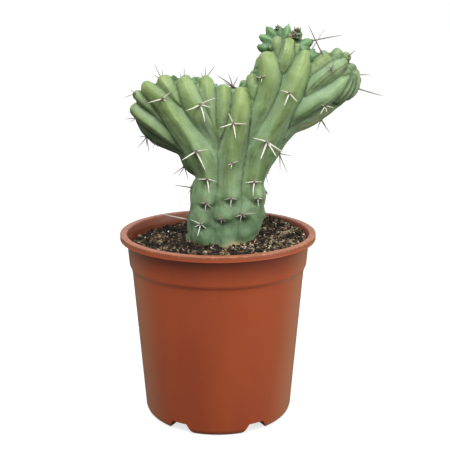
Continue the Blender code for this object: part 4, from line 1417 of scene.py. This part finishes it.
# GREY and DARK spines: partly their own greying, partly painted shade along the outline and in the plant's
# shadow.
AREOLES = (
    Areole((162.7, 98.8), ((147, 103), (171, 91), (166, 101.5))),
    Areole((200.3, 104.7), ((185, 111), (218, 98), (212, 108), (205, 123)), stout=1.2),
    Areole((233, 123.7), ((219, 128), (248, 124), (236, 140), (228, 112)), stout=1.2),
    Areole((289.4, 93.2), ((280, 90), (284, 106.5), (298, 102.5)), stout=1.1),
    Areole((261.7, 77.5), ((255, 76.5), (261, 83), (266.5, 75)), stout=0.8),
    Areole((331, 69.2), ((335, 59), (327, 70.5), (334, 73)), GreyingAndShade.GREYING, stout=0.8),
    Areole((325.5, 106.2), ((321, 105), (334, 108), (320, 115), (327, 113))),
    Areole((322.7, 121.9), ((331, 134), (317, 130), (326, 126)), GreyingAndShade.GREY, 0.15, 0.8, 2.6),
    Areole((267.2, 142.2), ((251.5, 137.6), (284, 153), (260, 161), (277, 158)), stout=1.35),
    Areole((282, 155), ((280, 172), (288.5, 174.6), (292, 156)), GreyingAndShade.GREYING, 0.2, 0.8, 2.6),
    Areole((196, 151.5), ((181, 161), (210, 149), (206, 172)), stout=1.2),
    Areole((207, 179.2), ((196, 179), (218, 182), (209, 194)), stout=1.05),
    Areole((232, 163.5), ((239, 160.5), (231, 169), (227.5, 165)), stout=0.95),
    Areole((254.3, 182), ((244, 183), (263, 182), (253, 197)), stout=1.05),
    Areole((190.5, 187.5), ((173, 185), (187, 194), (194, 188)), GreyingAndShade.GREY, 0.1, 0.9, 1.7),
    Areole((206.2, 203.3), ((199, 203), (213, 209), (205, 212.5)), GreyingAndShade.GREYING, stout=0.9),
    Areole((231, 198.6), ((223, 200), (238.5, 200), (230, 208)), GreyingAndShade.GREYING, stout=0.9),
    Areole((258, 198.6), ((254, 198), (263.5, 199), (259, 208)), stout=0.8),
    Areole((266.6, 192), ((270, 195), (266, 198)), GreyingAndShade.DARK, 0.1, 0.7, 1.4),
    Areole((269, 175), ((269, 186), (271.5, 174)), GreyingAndShade.GREY, 0.1, 0.6),
    Areole((221, 219), ((216, 219.5), (226.5, 222), (221, 224), (225, 216.5)), GreyingAndShade.GREYING, stout=0.75),
    Areole((242.2, 214.4), ((258, 213), (234, 217), (240, 223), (246, 218)), GreyingAndShade.GREYING, stout=0.9),
    Areole((200.6, 224.5), ((194, 227), (207, 229), (197, 237.5), (189.5, 219), (205, 221)), stout=0.85),
    Areole((188.6, 211.6), ((184, 216), (193, 215), (190, 207)), GreyingAndShade.GREY, 0.2, 0.7),
    Areole((183, 167), ((172, 175.5), (188.6, 181), (178, 177)), GreyingAndShade.GREY, 0.1, 0.8),
    Areole((144.2, 139.5), ((137, 148), (149, 153), (146, 148), (138.5, 136)), GreyingAndShade.DARK, 0.1, 0.75),
    Areole((133, 118), ((128, 111), (123, 119), (129, 123)), GreyingAndShade.GREY, 0.1, 0.6),
    Areole((134.5, 93.5), ((123, 98), (130, 89)), GreyingAndShade.GREY, 0.1, 0.6),
    Areole((159, 74.7), ((154, 64), (152.5, 74), (163, 69)), GreyingAndShade.GREY, 0.1, 0.7),
    Areole((182, 75.5), ((184, 67), (179, 71)), GreyingAndShade.GREY, 0.1, 0.7),
    Areole((205.2, 74.5), ((205, 65.5), (215, 65.5), (200, 72)), GreyingAndShade.GREY, 0.1, 0.7),
    Areole((155, 143.5), ((153, 149), (158, 148)), GreyingAndShade.DARK, 0.1, 0.6),
    Areole((284, 138.5), ((288, 141),), GreyingAndShade.GREY, 0.1, 0.5),
)

# Spines that stand behind the outline, from root to point in millimetres.
FAR_SPINES = (
    # Their grey and dark tones are partly painted shade.
    ((79.4, 5, 325), (103.5, 0, 329.5), GreyingAndShade.GREY), ((79, 7, 318), (89, 2, 335), GreyingAndShade.IVORY),
    ((85.6, -6, 316.4), (73.1, -14, 338.4), GreyingAndShade.GREY), ((119.4, 1, 285.3), (138.7, -5, 280), GreyingAndShade.GREY),
    ((118, 1, 297.2), (127.5, -3, 297.2), GreyingAndShade.GREYING), ((110.8, 2, 313.3), (114.5, -1, 317.5), GreyingAndShade.GREY),
    ((16.7, 8, 286.9), (-1.5, 8, 296.5), GreyingAndShade.DARK), ((16.7, 8, 286.9), (5, 4, 291), GreyingAndShade.DARK),
    ((12, 9, 288), (17.6, 10, 295.6), GreyingAndShade.GREY), ((12, 9, 288), (8.6, 12, 298), GreyingAndShade.GREYING),
    ((-27, 5, 172), (-51.3, 12, 175.6), GreyingAndShade.IVORY),
)

# Where each spine of a far cluster points, in degrees about its outward direction, and its length's share.
FAR_FANS = (
    ((182, 1.0), (358, 1.0), (270, 1.2)),
    ((166, 0.9), (334, 1.0), (248, 1.0), (303, 1.0)),
    ((197, 0.8), (333, 0.9), (256, 1.0), (60, 0.6), (140, 0.8)),
    ((213, 1.0), (12, 0.9), (297, 1.15)),
    ((203, 1.0), (10, 1.1), (282, 1.05), (343, 0.75)),
)


@dataclass
class SpineClusters:
    """The areoles: wool pads with their spines, seated on the skin."""

    body: Piece
    view: Viewpoint
    root_radius: float = 0.576 * MM
    sunk: float = 0.8 * MM
    spread: float = 0.9 * MM
    sides: int = 7
    far_length: float = 11 * MM
    far_lean: float = 62.0
    far_spacing: float = 24.0
    clearance: float = 0.3 * MM
    lifts: tuple[float, ...] = (0.0, 0.25, 0.5, 0.8)
    outline_stout: float = 0.95
    outline_pad: float = 1.1 * MM
    knob_pad: float = 0.75 * MM
    far_pad: float = 1.25 * MM
    draw: Draw = field(default_factory=lambda: np.random.default_rng(SEED))
    spines: MeshBatch = field(default_factory=MeshBatch)
    wool: MeshBatch = field(default_factory=MeshBatch)

    def build(self) -> tuple[Piece, Piece]:
        """Makes all the spines and all the wool.

        Returns:
            The spines' piece and the wool's piece.
        """
        for areole in AREOLES:
            self.seen_cluster(areole)
        for root, point, age in FAR_SPINES:
            start, out = self.on_skin(Vector(root) * MM)
            self.spine(start, Vector(point) * MM, self.outline_stout, age)
            self.pad(start, out, self.outline_pad)
        for knob in CROWN:
            if knob.section is KNOB_SECTION:
                point = Vector(knob.knots[-1][:3])
                self.pad(*self.on_skin(point * MM + point * 0.01 * MM), self.knob_pad)
        for number in range(len(FAR_TIPS)):
            self.far_clusters(number)
        return self.spines.build("spines"), self.wool.build("areole_wool")

    def on_skin(self, place: Vector) -> tuple[Vector, Vector]:
        """The skin's nearest point to a place, and its outward direction."""
        found = self.body.closest_point_on_mesh(place)
        return found[1], found[2]

    def seat(self, pixel: Pixel) -> tuple[Vector, Vector]:
        """The skin's place that a pixel shows, or the nearest one where it shows none.

        Args:
            pixel: The pixel.

        Returns:
            The place and the skin's outward direction there.
        """
        start, direction = self.view.ray(pixel)
        hit, place, normal, _ = self.body.ray_cast(start, direction)
        if hit:
            return place, normal
        return self.on_skin(start + direction * (-start.y / direction.y))

    def seen_cluster(self, areole: Areole) -> None:
        """Adds a cluster that the photograph shows.

        Args:
            areole: The cluster.
        """
        place, out = self.seat(areole.middle)
        self.pad(place, out, (1.2 + 0.4 * areole.stout) * MM)
        depth = (place - Vector(self.view.place)).dot(self.view.ahead())
        for pixel in areole.points:
            start, direction = self.view.ray(pixel)
            flat = start + direction * (depth / direction.dot(self.view.ahead()))
            reach = (flat - place).length
            for lift in self.lifts:
                point = flat - direction * ((areole.lift + lift) * reach)
                if self.clear(place, point):
                    break
            toward = (flat - place).normalized()
            self.spine(place + toward * self.spread, point, areole.stout, areole.age)

    def clear(self, root: Vector, point: Vector) -> bool:
        """Whether a spine's outer half stands clear of the skin.

        Args:
            root: Where it starts.
            point: Its point.

        Returns:
            True if it does.
        """
        for share in (0.5, 0.75, 1.0):
            place = root.lerp(point, share)
            near, out = self.on_skin(place)
            if (place - near).dot(out) < self.clearance:
                return False
        return True

    def spine(self, root: Vector, point: Vector, stout: float, age: GreyingAndShade) -> None:
        """Adds one tapered, slightly bent spine.

        Args:
            root: Where it leaves the skin.
            point: Its point.
            stout: Its thickness against a usual one.
            age: Its colour.
        """
        seat, _ = self.on_skin(root)
        direction = (point - seat).normalized()
        start = seat - direction * self.sunk
        length = (point - start).length
        bend = Vector(self.draw.normal(0, 0.035, 3)) * length
        share = np.array([0, 0.05, 0.12, 0.3, 0.5, 0.7, 0.86, 0.96, 1.0])
        taper = np.interp(share, [0, 0.06, 0.14, 0.5, 0.86, 1.0], [1.3, 1.3, 1.05, 0.88, 0.46, 0.05])
        width = self.root_radius * stout * min(1.0, 0.6 + length / (40 * MM)) * taper
        places = np.array([start.lerp(point, s) + bend * (s * (1 - s) * 2) for s in share])
        shade = np.clip(age.value + self.draw.normal(0, 0.06), 0, 1)
        rod = tube(np.hstack([places, width[:, None]]), self.sides)
        self.spines.add(*rod, share=np.repeat(share, self.sides), age=shade)

    def pad(self, place: Vector, out: Vector, radius: float) -> None:
        """Adds one tuft of wool: a low lumpy cushion with short points all over it.

        Args:
            place: Its middle on the skin.
            out: The skin's outward direction.
            radius: Half its width.
        """
        across = out.orthogonal().normalized()
        frame_of = np.array([across, out.cross(across), out])
        rings, spokes = 4, 10
        ring = np.arange(1, rings + 1)[:, None]
        lean, turn = math.pi / 2 * ring / rings, 2 * math.pi * (np.arange(spokes) + 0.5 * (ring % 2)) / spokes
        rise = 0.75 * np.cos(lean) - 0.25 + 0 * turn
        local = np.stack([np.sin(lean) * np.cos(turn), np.sin(lean) * np.sin(turn), rise], axis=-1)
        local *= 1 + self.draw.normal(0, 0.16, (rings, spokes, 1))
        points = np.array(place) + radius * np.vstack([(0, 0, 0.75), local.reshape(-1, 3)]) @ frame_of
        faces = [(0, 1 + i, 1 + (i + 1) % spokes) for i in range(spokes)]
        faces += [(a + 1, d + 1, c + 1, b + 1) for a, b, c, d in bands(range(rings), spokes)]
        last = 1 + (rings - 1) * spokes
        faces.append(tuple(range(last, last + spokes))[::-1])
        self.wool.add(points, faces)

    def far_clusters(self, number: int) -> None:
        """Adds the clusters of a rib of the far face, evenly along it.

        Args:
            number: The rib's number.
        """
        line = smooth_line(far_rib(number).knots, 1.0)
        lowest, highest = line[0, 2], line[-1, 2]
        lean, stagger = math.radians(self.far_lean), number % 3
        heights = [lowest + (highest - lowest) * (3 + stagger) / 6]
        if number in FAR_ROOTED:
            heights = np.arange(lowest + 22 + 4 * stagger, highest - 8, self.far_spacing)
        for height in heights:
            row = int(np.argmin(np.abs(line[:, 2] - height)))
            seat = Vector((line[row, 0], line[row, 1] + line[row, 3], line[row, 2])) * MM
            place, out = self.on_skin(seat)
            self.pad(place, out, self.far_pad)
            for turn, share in FAR_FANS[(number + round(height)) % len(FAR_FANS)]:
                angle = math.radians(turn + self.draw.uniform(-7, 7))
                side = Vector((math.cos(angle), 0, math.sin(angle)))
                side = (side - out * side.dot(out)).normalized()
                way = (out * math.cos(lean) + side * math.sin(lean)) * (share * self.far_length)
                self.spine(place + side * self.spread, place + way, 1.0, GreyingAndShade.IVORY)


@dataclass
class DriedFlowers:
    """The brown remnants of old flowers on two knobs of the crown."""

    body: Piece
    places: tuple[tuple[Place, float], ...] = (
        ((50.6, 13, 334), 3.2), ((66.5, 9, 333), 4.8), ((63, 5, 330), 5.2),
        ((66.5, 4, 327), 4.8), ((61, 3, 328), 3.6),
    )
    scales: int = 9
    draw: Draw = field(default_factory=lambda: np.random.default_rng(SEED + 1))
    batch: MeshBatch = field(default_factory=MeshBatch)

    def build(self) -> Piece:
        """Makes both remnants.

        Returns:
            The husks as one piece.
        """
        draw = self.draw
        for place, size in self.places:
            _, seat, out, _ = self.body.closest_point_on_mesh(Vector(place) * MM)
            axis = (out + Vector((0, -0.25, 0.9))).normalized()
            for number in range(self.scales):
                turn = 2 * math.pi * number / self.scales + draw.uniform(-0.3, 0.3)
                self.scale_leaf(seat - axis * 0.6 * MM, axis, turn, size * MM * draw.uniform(0.75, 1.2))
        return self.batch.build("dried_flowers")

    def scale_leaf(self, seat: Vector, axis: Vector, turn: float, size: float) -> None:
        """Adds one curled papery scale.

        Args:
            seat: The remnant's middle on the skin.
            axis: The way that it stands.
            turn: The scale's place round it, in radians.
            size: The scale's length.
        """
        draw = self.draw
        first = axis.orthogonal().normalized()
        second = axis.cross(first)
        radial = first * math.cos(turn) + second * math.sin(turn)
        across = axis.cross(radial)
        rows = []
        curl = draw.uniform(-0.5, 0.7)
        for share in np.linspace(0, 1, 6):
            lean = 0.55 + curl * share
            middle = seat + radial * (size * (0.28 + 0.45 * share * math.sin(lean)))
            middle += axis * (size * share * math.cos(lean * 0.8))
            half = size * 0.24 * (1 - share) ** 0.6 * (1 + draw.normal(0, 0.12)) + 0.05 * MM
            fold = radial * (half * draw.uniform(0.1, 0.7))
            thin = axis.cross(across) * 0.16 * MM
            left, right = middle - across * half + fold, middle + across * half + fold
            rows.extend((left, middle + thin, right, middle - thin))
        points = np.array([tuple(point) for point in rows])
        faces = [(3, 2, 1, 0), tuple(range(20, 24)), *bands(range(6), 4)]
        self.batch.add(points, faces, share=np.repeat(np.linspace(0, 1, 6), 4))


@dataclass
class NurseryPot:
    """The moulded pot: a thin wall with a flat lip, a stepped collar and six feet between its recesses."""

    height: float
    rim_radius: float
    rim_inner: float = 79 * MM
    skirt: float = 5.0 * MM
    collar_top: float = 79.2 * MM
    collar_bottom: float = 77.5 * MM
    collar_depth: float = 26.5 * MM
    step: float = 8.5 * MM
    body_top: float = 75 * MM
    body_bottom: float = 65.4 * MM
    chamfer: float = 4.5 * MM
    base_radius: float = 61.6 * MM
    wall: float = 1.6 * MM
    floor: float = 1.8 * MM
    segments: int = 240
    corner_spans: int = 4
    recess_count: int = 6
    recess_height: float = 8.8 * MM
    recess_depth: float = 16 * MM
    recess_widths: tuple[float, float] = (24.5 * MM, 13.6 * MM)

    def rounded(self, profile: list[tuple[float, float, float]]) -> list[Pixel]:
        """A profile with its inner corners rounded.

        Args:
            profile: Its points as (radius, height, rounding).

        Returns:
            The points with each rounding drawn out.
        """
        bare = [np.array(point[:2]) for point in profile]
        made = [bare[0]]
        for back, here, on, (*_, reach) in zip(bare, bare[1:], bare[2:], profile[1:]):
            start, end = here + unit(back - here) * reach, here + unit(on - here) * reach
            shares = np.linspace(0, 1, self.corner_spans + 1) if reach else [0]
            made += [(1 - t) ** 2 * start + 2 * t * (1 - t) * here + t**2 * end for t in shares]
        return [tuple(point) for point in (*made, bare[-1])]

    def outline(self) -> list[Pixel]:
        """The outside's profile, from rim to base, with a thin bead along the lip's lower edge."""
        skirt, collar_end = self.height - self.skirt, self.height - self.collar_depth
        foot = self.body_bottom - 1.0 * MM
        return self.rounded([
            (0, self.height, 0), (self.rim_radius, self.height, 0.8 * MM),
            (self.rim_radius - 0.15 * MM, skirt + 1.0 * MM, 0.3 * MM),
            (self.rim_radius, skirt + 0.5 * MM, 0.3 * MM), (self.rim_radius - 0.3 * MM, skirt, 0.2 * MM),
            (self.collar_top, skirt, 0.5 * MM), (self.collar_bottom, collar_end, 0.5 * MM),
            (self.collar_bottom - 0.4 * MM, collar_end - 0.16 * self.step, 0.5 * MM),
            (self.body_top + 0.7 * MM, collar_end - 0.45 * self.step, 0.5 * MM),
            (self.body_top, collar_end - self.step, 2.0 * MM),
            (self.body_bottom, self.chamfer, 1.2 * MM), (foot, 0.5 * self.chamfer, 0.8 * MM),
            (self.base_radius + 1.4 * MM, 1.0 * MM, 0.7 * MM), (self.base_radius, 0, 0.5 * MM), (0, 0, 0),
        ])

    def inside(self) -> list[Pixel]:
        """The cavity's profile, from above the rim to the floor."""
        collar_end = self.height - self.collar_depth
        above, mouth = self.height + self.skirt, self.rim_inner + 0.7 * MM
        return self.rounded([
            (0, above, 0), (mouth, above, 0), (mouth, self.height, 0.1 * MM),
            (self.rim_inner, self.height - 0.8 * MM, 0.5 * MM),
            (self.collar_top - self.wall, self.height - self.skirt - self.wall, 0.8 * MM),
            (self.collar_bottom - self.wall, collar_end, 1 * MM),
            (self.body_top - self.wall, collar_end - self.step, 1 * MM),
            (self.body_bottom - self.wall, self.chamfer + self.floor, 2 * MM),
            (self.base_radius, self.floor, 1 * MM), (0, self.floor, 0),
        ])

    def turned(self, name: str, profile: list[Pixel]) -> Piece:
        """A solid of revolution.

        Args:
            name: The object's name.
            profile: Its (radius, height) points from the axis above to the axis below.

        Returns:
            The solid.
        """
        turn = np.linspace(0, 2 * math.pi, self.segments, endpoint=False)
        rings, count = profile[1:-1], self.segments
        points = [(0, 0, profile[0][1]), (0, 0, profile[-1][1])]
        for radius, height in rings:
            points.extend((radius * math.cos(a), radius * math.sin(a), height) for a in turn)
        last = len(points) - count
        faces = []
        for i in range(count):
            j = (i + 1) % count
            faces += [(0, 2 + i, 2 + j), (1, last + j, last + i)]
            faces += [(a + i, a + count + i, a + count + j, a + j) for a in range(2, last, count)]
        return MeshBatch().add(points, faces).build(name)

    def turns(self) -> list[Array]:
        """The turn to each recess, which leaves a foot in the middle of the front."""
        angles = [2 * math.pi * (number + 0.5) / self.recess_count for number in range(self.recess_count)]
        return [np.array(Matrix.Rotation(angle, 3, "Z")).T for angle in angles]

    def recesses(self, name: str, grow: float) -> Piece:
        """The cuts through the foot.

        Args:
            name: The object's name.
            grow: How much larger they are on all sides.

        Returns:
            The cutter.
        """
        height = self.recess_height + grow
        below, above = (width / 2 + grow for width in self.recess_widths)
        deep, out = -2 * MM, self.body_bottom + 6 * MM
        inner = self.body_bottom - self.recess_depth - grow
        below += (below - above) * -deep / height
        around = (-1, out), (1, out), (1, inner), (-1, inner)
        levels = (below, deep), (above, height)
        corners = np.array([(way * half, -reach, level) for half, level in levels for way, reach in around])
        faces = [(3, 2, 1, 0), (4, 5, 6, 7), *bands(range(2), 4)]
        batch = MeshBatch()
        for turn in self.turns():
            batch.add(corners @ turn, faces)
        return batch.build(name)

    def slots(self) -> Piece:
        """The drain slots in the recess roofs."""
        batch = MeshBatch()
        reach = self.body_bottom - 0.62 * self.recess_depth
        heights = self.recess_height - 1 * MM, self.recess_height + 3 * MM
        line = np.array([(0, -reach, height, 3.6 * MM) for height in heights])
        points, faces = tube(line, 24, (1.0, 0.0, 0.0))
        for turn in self.turns():
            batch.add(points @ turn, faces)
        return batch.build("drain_slots")

    def cut(self, target: Piece, cutter: Piece) -> None:
        """Cuts one solid out of another and removes the cutter."""
        modify(target, "BOOLEAN", operation="DIFFERENCE", solver="MANIFOLD", object=cutter)
        bpy.data.objects.remove(cutter)

    def build(self) -> Piece:
        """Makes the pot.

        Returns:
            The pot, with masks for its edges, its inside and the painted shadow under its lip.
        """
        pot = self.turned("pot_shell", self.outline())
        cavity = self.turned("cavity", self.inside())
        self.cut(cavity, self.recesses("roofs", self.wall))
        self.cut(pot, cavity)
        self.cut(pot, self.recesses("recesses", 0))
        self.cut(pot, self.slots())
        mesh = pot.data
        mesh.shade_smooth()
        mesh.set_sharp_from_angle(angle=math.radians(38))
        points, normals = read_points(mesh), read_points(mesh, "normal")
        top, low = points[:, 2] > self.height - 1.2 * MM, points[:, 2] < 0.5 * self.chamfer
        keep_mask(mesh, "edge", 1.0 * top + 0.8 * low)
        inward = np.sum(points[:, :2] * normals[:, :2], axis=1) < 0
        within = inward & (points[:, 2] > self.chamfer) & (points[:, 2] < self.height - 0.9 * MM)
        keep_mask(mesh, "inside", 1.0 * within)
        # Painted shadow: dark just under the lip, a little lighter further down.
        below = (self.height - self.skirt - points[:, 2]) / MM
        shade = bell(np.maximum(below, 0) / 5.0) - 0.24 * bell((below - 12) / 7.0)
        keep_mask(mesh, "painted_lip_shadow", np.where(inward | (below < -0.2), 0.0, shade))
        return pot


@dataclass
class Soil:
    """The potting soil: a crumbly surface, loose crumbs, perlite grains and fibres of bark.

    Each swell is a hollow or a heap: its rise, its middle's x and y, and its half widths.
    """

    top: float = 154.8
    radius: float = 76.9
    hole: tuple[float, float] = (30.0, 22.8)
    centre: tuple[float, float] = (3.5, 3.0)
    rise_right: float = 4.2
    mound: float = 0.8
    lump: float = 3.4
    rings: int = 64
    spokes: int = 300
    skirt_depth: float = 12.0
    swells: tuple[tuple[float, ...], ...] = ((-4.6, 7, -27, 26, 12), (4.4, 40, 42, 26, 32))
    crumb_count: int = 8600
    perlite_count: int = 60
    fibre_count: int = 1200
    curl_count: int = 1700

    def height(self, x: float, y: float) -> float:
        """How high the surface stands at a place, in millimetres.

        Args:
            x: The place's x.
            y: The place's y.

        Returns:
            The height.
        """
        reach = math.hypot(x, y) / 85
        mound = self.mound * math.exp(-((reach / 0.45) ** 4))
        lumps = 0.5 * noise.noise(Vector((x, y, 0.6)) / 9) + 0.35 * noise.noise(Vector((x, y, 0.4)) / 4.2)
        crumbs = 0.25 * noise.noise(Vector((x, y, 7)) / 1.7) + 0.12 * noise.noise(Vector((x, y, 9)) / 0.8)
        swell = sum(rise * bell((x - a) / wide, (y - b) / deep) for rise, a, b, wide, deep in self.swells)
        return self.top + mound + swell + self.rise_right * x / 85 + self.lump * (lumps + crumbs)

    def surface(self) -> Piece:
        """The soil's lid, from the stem to the pot's wall, with its sides and underside.

        Returns:
            The lid as a closed piece.
        """
        turn = np.linspace(0, 2 * math.pi, self.spokes, endpoint=False)
        inner = np.stack([self.centre[0] + (self.hole[0] - 5) * np.cos(turn),
                          self.centre[1] + (self.hole[1] - 5) * np.sin(turn)], axis=1)
        outer = self.radius * np.stack([np.cos(turn), np.sin(turn)], axis=1)
        points = []
        for ring in range(self.rings + 1):
            share = ring / self.rings
            for x, y in inner * (1 - share) + outer * share:
                points.append((x, y, self.height(x, y)))
        for edge in (0.965 * outer, 1.05 * inner):
            points.extend((x, y, self.top - self.skirt_depth) for x, y in edge)
        faces = [(a, d, c, b) for a, b, c, d in bands([*range(self.rings + 3), 0], self.spokes)]
        tone = np.clip(0.18 + 0.05 * (np.array(points)[:, 2] - self.top), 0, 1)
        return MeshBatch().add(points, faces, scale=MM, tone=tone).build("soil_surface")

    def spot(self, draw: Draw, edge: float = 2.0) -> tuple[float, float]:
        """A random place on the soil, clear of the stem.

        Args:
            draw: The source of the choice.
            edge: How far from the wall it stays.

        Returns:
            The place's x and y.
        """
        while True:
            x, y = draw.uniform(-1, 1, 2) * (self.radius - edge)
            inside = math.hypot(x, y) < self.radius - edge
            stem = ((x - self.centre[0]) / self.hole[0]) ** 2 + ((y - self.centre[1]) / self.hole[1]) ** 2
            if inside and stem > 0.86:
                return x, y

    def scatter(
        self, name: str, count: int, sizes: tuple[float, float], level: int, tones: Sequence[float], seed: int
    ) -> Piece:
        """Strews uneven grains over the surface.

        Args:
            name: The piece's name.
            count: How many grains.
            sizes: The smallest and the largest half width, in millimetres.
            level: How finely a grain is faceted.
            tones: The lightness values that a grain may have.
            seed: The random draw's seed.

        Returns:
            All the grains as one piece.
        """
        ball = bmesh.new()
        bmesh.ops.create_icosphere(ball, subdivisions=level, radius=1)
        shape = np.array([v.co for v in ball.verts])
        faces = [tuple(v.index for v in f.verts) for f in ball.faces]
        ball.free()
        draw = np.random.default_rng(seed)
        batch = MeshBatch()
        for _ in range(count):
            x, y = self.spot(draw)
            size = sizes[0] + (sizes[1] - sizes[0]) * draw.random() ** 2.6
            turn = unit(draw.normal(size=(3, 3)))
            grain = shape * (1 + draw.normal(0, 0.16, (len(shape), 1))) * draw.uniform(0.4, 1.35, 3) * size
            points = grain @ np.linalg.qr(turn)[0] + (x, y, self.height(x, y) + 0.35 * size)
            tone = draw.choice(tones) * (1.0 if size < 1.2 else 0.55)
            tone += 0.28 * max(0.0, x / self.radius) * draw.random() + draw.normal(0, 0.05)
            batch.add(points, faces, scale=MM, tone=np.clip(tone, 0, 1))
        return batch.build(name)

    def fibres(self) -> Piece:
        """Strews thin bent slivers of bark and root.

        Returns:
            All of them as one piece.
        """
        draw = np.random.default_rng(SEED + 4)
        batch = MeshBatch()
        for _ in range(self.fibre_count):
            x, y = self.spot(draw, 5)
            length, heading = draw.uniform(1.5, 7), draw.uniform(0, 2 * math.pi)
            along = np.array([math.cos(heading), math.sin(heading), draw.uniform(-0.1, 0.4)])
            bend = draw.normal(0, 0.2, 3) * length
            share = np.linspace(-0.5, 0.5, 5)[:, None]
            middle = np.array([x, y, self.height(x, y) + 0.6])
            line = middle + along * share * length + bend * (0.25 - share**2)
            width = draw.uniform(0.14, 0.42) * np.array([0.5, 1, 1, 0.9, 0.4])[:, None]
            tone = draw.choice((0.2, 0.45, 0.6, 0.8)) + draw.normal(0, 0.05)
            batch.add(*tube(np.hstack([line, width]), 5), scale=MM, tone=tone)
        self.curls(batch, draw)
        return batch.build("bark_fibres")

    def curls(self, batch: MeshBatch, draw: Draw) -> None:
        """Adds the tangle of curled grey fibres, thickest on the right.

        Args:
            batch: The fibres' shapes.
            draw: The source of the choices.
        """
        for _ in range(self.curl_count):
            x, y = self.spot(draw, 4)
            if draw.random() > 0.12 + 0.88 * (x > 22):
                continue
            radius = draw.uniform(1.0, 2.8)
            angle = draw.uniform(0, 2 * math.pi) + np.linspace(0, draw.uniform(1.6, 4.2), 8)
            tilt = draw.normal(0, 0.7, 2)
            flat = np.stack([radius * np.cos(angle), radius * np.sin(angle)], axis=1)
            ground = self.height(x, y)
            rise = np.maximum(ground + 1.0 + 0.5 * (flat @ tilt), ground + 0.1)
            width = draw.uniform(0.2, 0.46) * np.array([0.4, 0.9, 1, 1, 1, 0.9, 0.7, 0.3])
            line = np.column_stack([x + flat[:, 0], y + flat[:, 1], rise, width])
            batch.add(*tube(line, 5), scale=MM, tone=draw.uniform(0.45, 1.2))


@dataclass
class Studio:
    """The pale floor, the white surroundings and the soft lamps."""

    floor_size: float = 120.0
    lamp_size: float = 0.8
    sky: float = 0.82
    horizon: float = 0.77
    ground: float = 0.22

    def build(self) -> None:
        """Makes the floor, the world and the lamps."""
        bpy.context.scene.view_settings.view_transform = "Standard"
        half = self.floor_size / 2
        corners = (-half, -half, 0), (half, -half, 0), (half, half, 0), (-half, half, 0)
        floor = MeshBatch().add(corners, [(0, 1, 2, 3)]).build("floor")
        floor.data.materials.append(self.floor_finish())
        bpy.context.scene.world = self.surroundings()
        self.lamp("key", (-0.14, -0.85, 1.5), 23.0)
        self.lamp("top", (0.2, 0.0, 1.6), 4.5)
        self.lamp("side", (1.1, -0.5, 0.5), 8.0)

    def floor_finish(self) -> Material:
        """A matt pale floor, which is bright to look at and gives the object little light from below.

        Returns:
            The floor's material.
        """
        made, graph, shader, place = new_material("pale_floor")
        seen = graph.add("ShaderNodeLightPath").outputs["Is Camera Ray"]
        clouds = graph.band(graph.noise(place, 0.7, 2.0), 0.3, 0.7)
        pale = graph.blend(clouds, (0.34, 0.34, 0.34, 1), (0.36, 0.36, 0.36, 1))
        wire(
            graph, shader, Base_Color=graph.blend(seen, (0.12, 0.12, 0.12, 1), pale), Roughness=0.9,
            Emission_Color=(1, 1, 1, 1), Emission_Strength=graph.times(seen, 0.72), Specular_IOR_Level=0.1,
        )
        return made

    def surroundings(self) -> bpy.types.World:
        """A white backdrop that lights the object softly from above and hardly from below.

        Returns:
            The world.
        """
        world = bpy.data.worlds.new("white_surroundings")
        world.use_nodes = True
        graph = Graph(world.node_tree)
        way = graph.add("ShaderNodeTexCoord").outputs["Generated"]
        up = graph.add("ShaderNodeSeparateXYZ", {0: way}).outputs["Z"]
        above = graph.band(up, 0.0, 0.9, (0.0, self.sky - self.horizon))
        light = graph.plus(above, graph.band(up, -0.35, 0.0, (self.ground, self.horizon)))
        seen = graph.add("ShaderNodeLightPath").outputs["Is Camera Ray"]
        strength = graph.math("MAXIMUM", light, seen)
        graph.feed(world.node_tree.nodes["Background"], {"Color": (1, 1, 1, 1), "Strength": strength})
        return world

    def lamp(self, name: str, place: Place, power: float) -> None:
        """Hangs a square soft lamp that faces the plant.

        Args:
            name: The lamp's name.
            place: Where it hangs.
            power: Its power in watts.
        """
        data = bpy.data.lights.new(name, "AREA")
        data.size = self.lamp_size
        data.energy = power
        made = bpy.data.objects.new(name, data)
        made.location = place
        made.rotation_euler = (Vector(place) - Vector((0, 0, 0.2))).to_track_quat("Z", "Y").to_euler()
        bpy.context.scene.collection.objects.link(made)


def main() -> None:
    """Builds every piece in order."""
    logging.basicConfig(level=logging.INFO, format="%(message)s")
    view = Viewpoint()
    view.camera()
    Studio().build()
    low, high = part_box("nursery_pot")
    pot = NurseryPot(height=high.z - low.z, rim_radius=(high.x - low.x) / 2).build()
    hand_over(pot, MouldedPlastic().material(), Slot.PLASTIC, "nursery_pot")
    earth = Earth().material()
    soil = Soil()
    hand_over(soil.surface(), earth, Slot.SOIL, "potting_soil")
    tones = 0.0, 0.05, 0.1, 0.3, 0.5, 0.95
    crumbs = soil.scatter("soil_crumbs", soil.crumb_count, (0.35, 2.4), 1, tones, SEED + 2)
    crumbs.data.shade_flat()
    hand_over(crumbs, earth, Slot.SOIL)
    hand_over(soil.fibres(), earth, Slot.SOIL)
    perlite = soil.scatter("perlite_grains", soil.perlite_count, (0.4, 1.3), 2, (1.0,), SEED + 3)
    hand_over(perlite, Perlite().material(), Slot.PERLITE)
    body = CactusBody(view).build()
    hand_over(body, CactusSkin().material(), Slot.SKIN, "crested_cactus")
    spines, wool = SpineClusters(body, view).build()
    hand_over(spines, SpineHorn().material(), Slot.SPINE)
    hand_over(wool, AreoleFelt().material(), Slot.FELT)
    hand_over(DriedFlowers(body).build(), DriedHusk().material(), Slot.FELT)


if __name__ == "__main__":
    main()
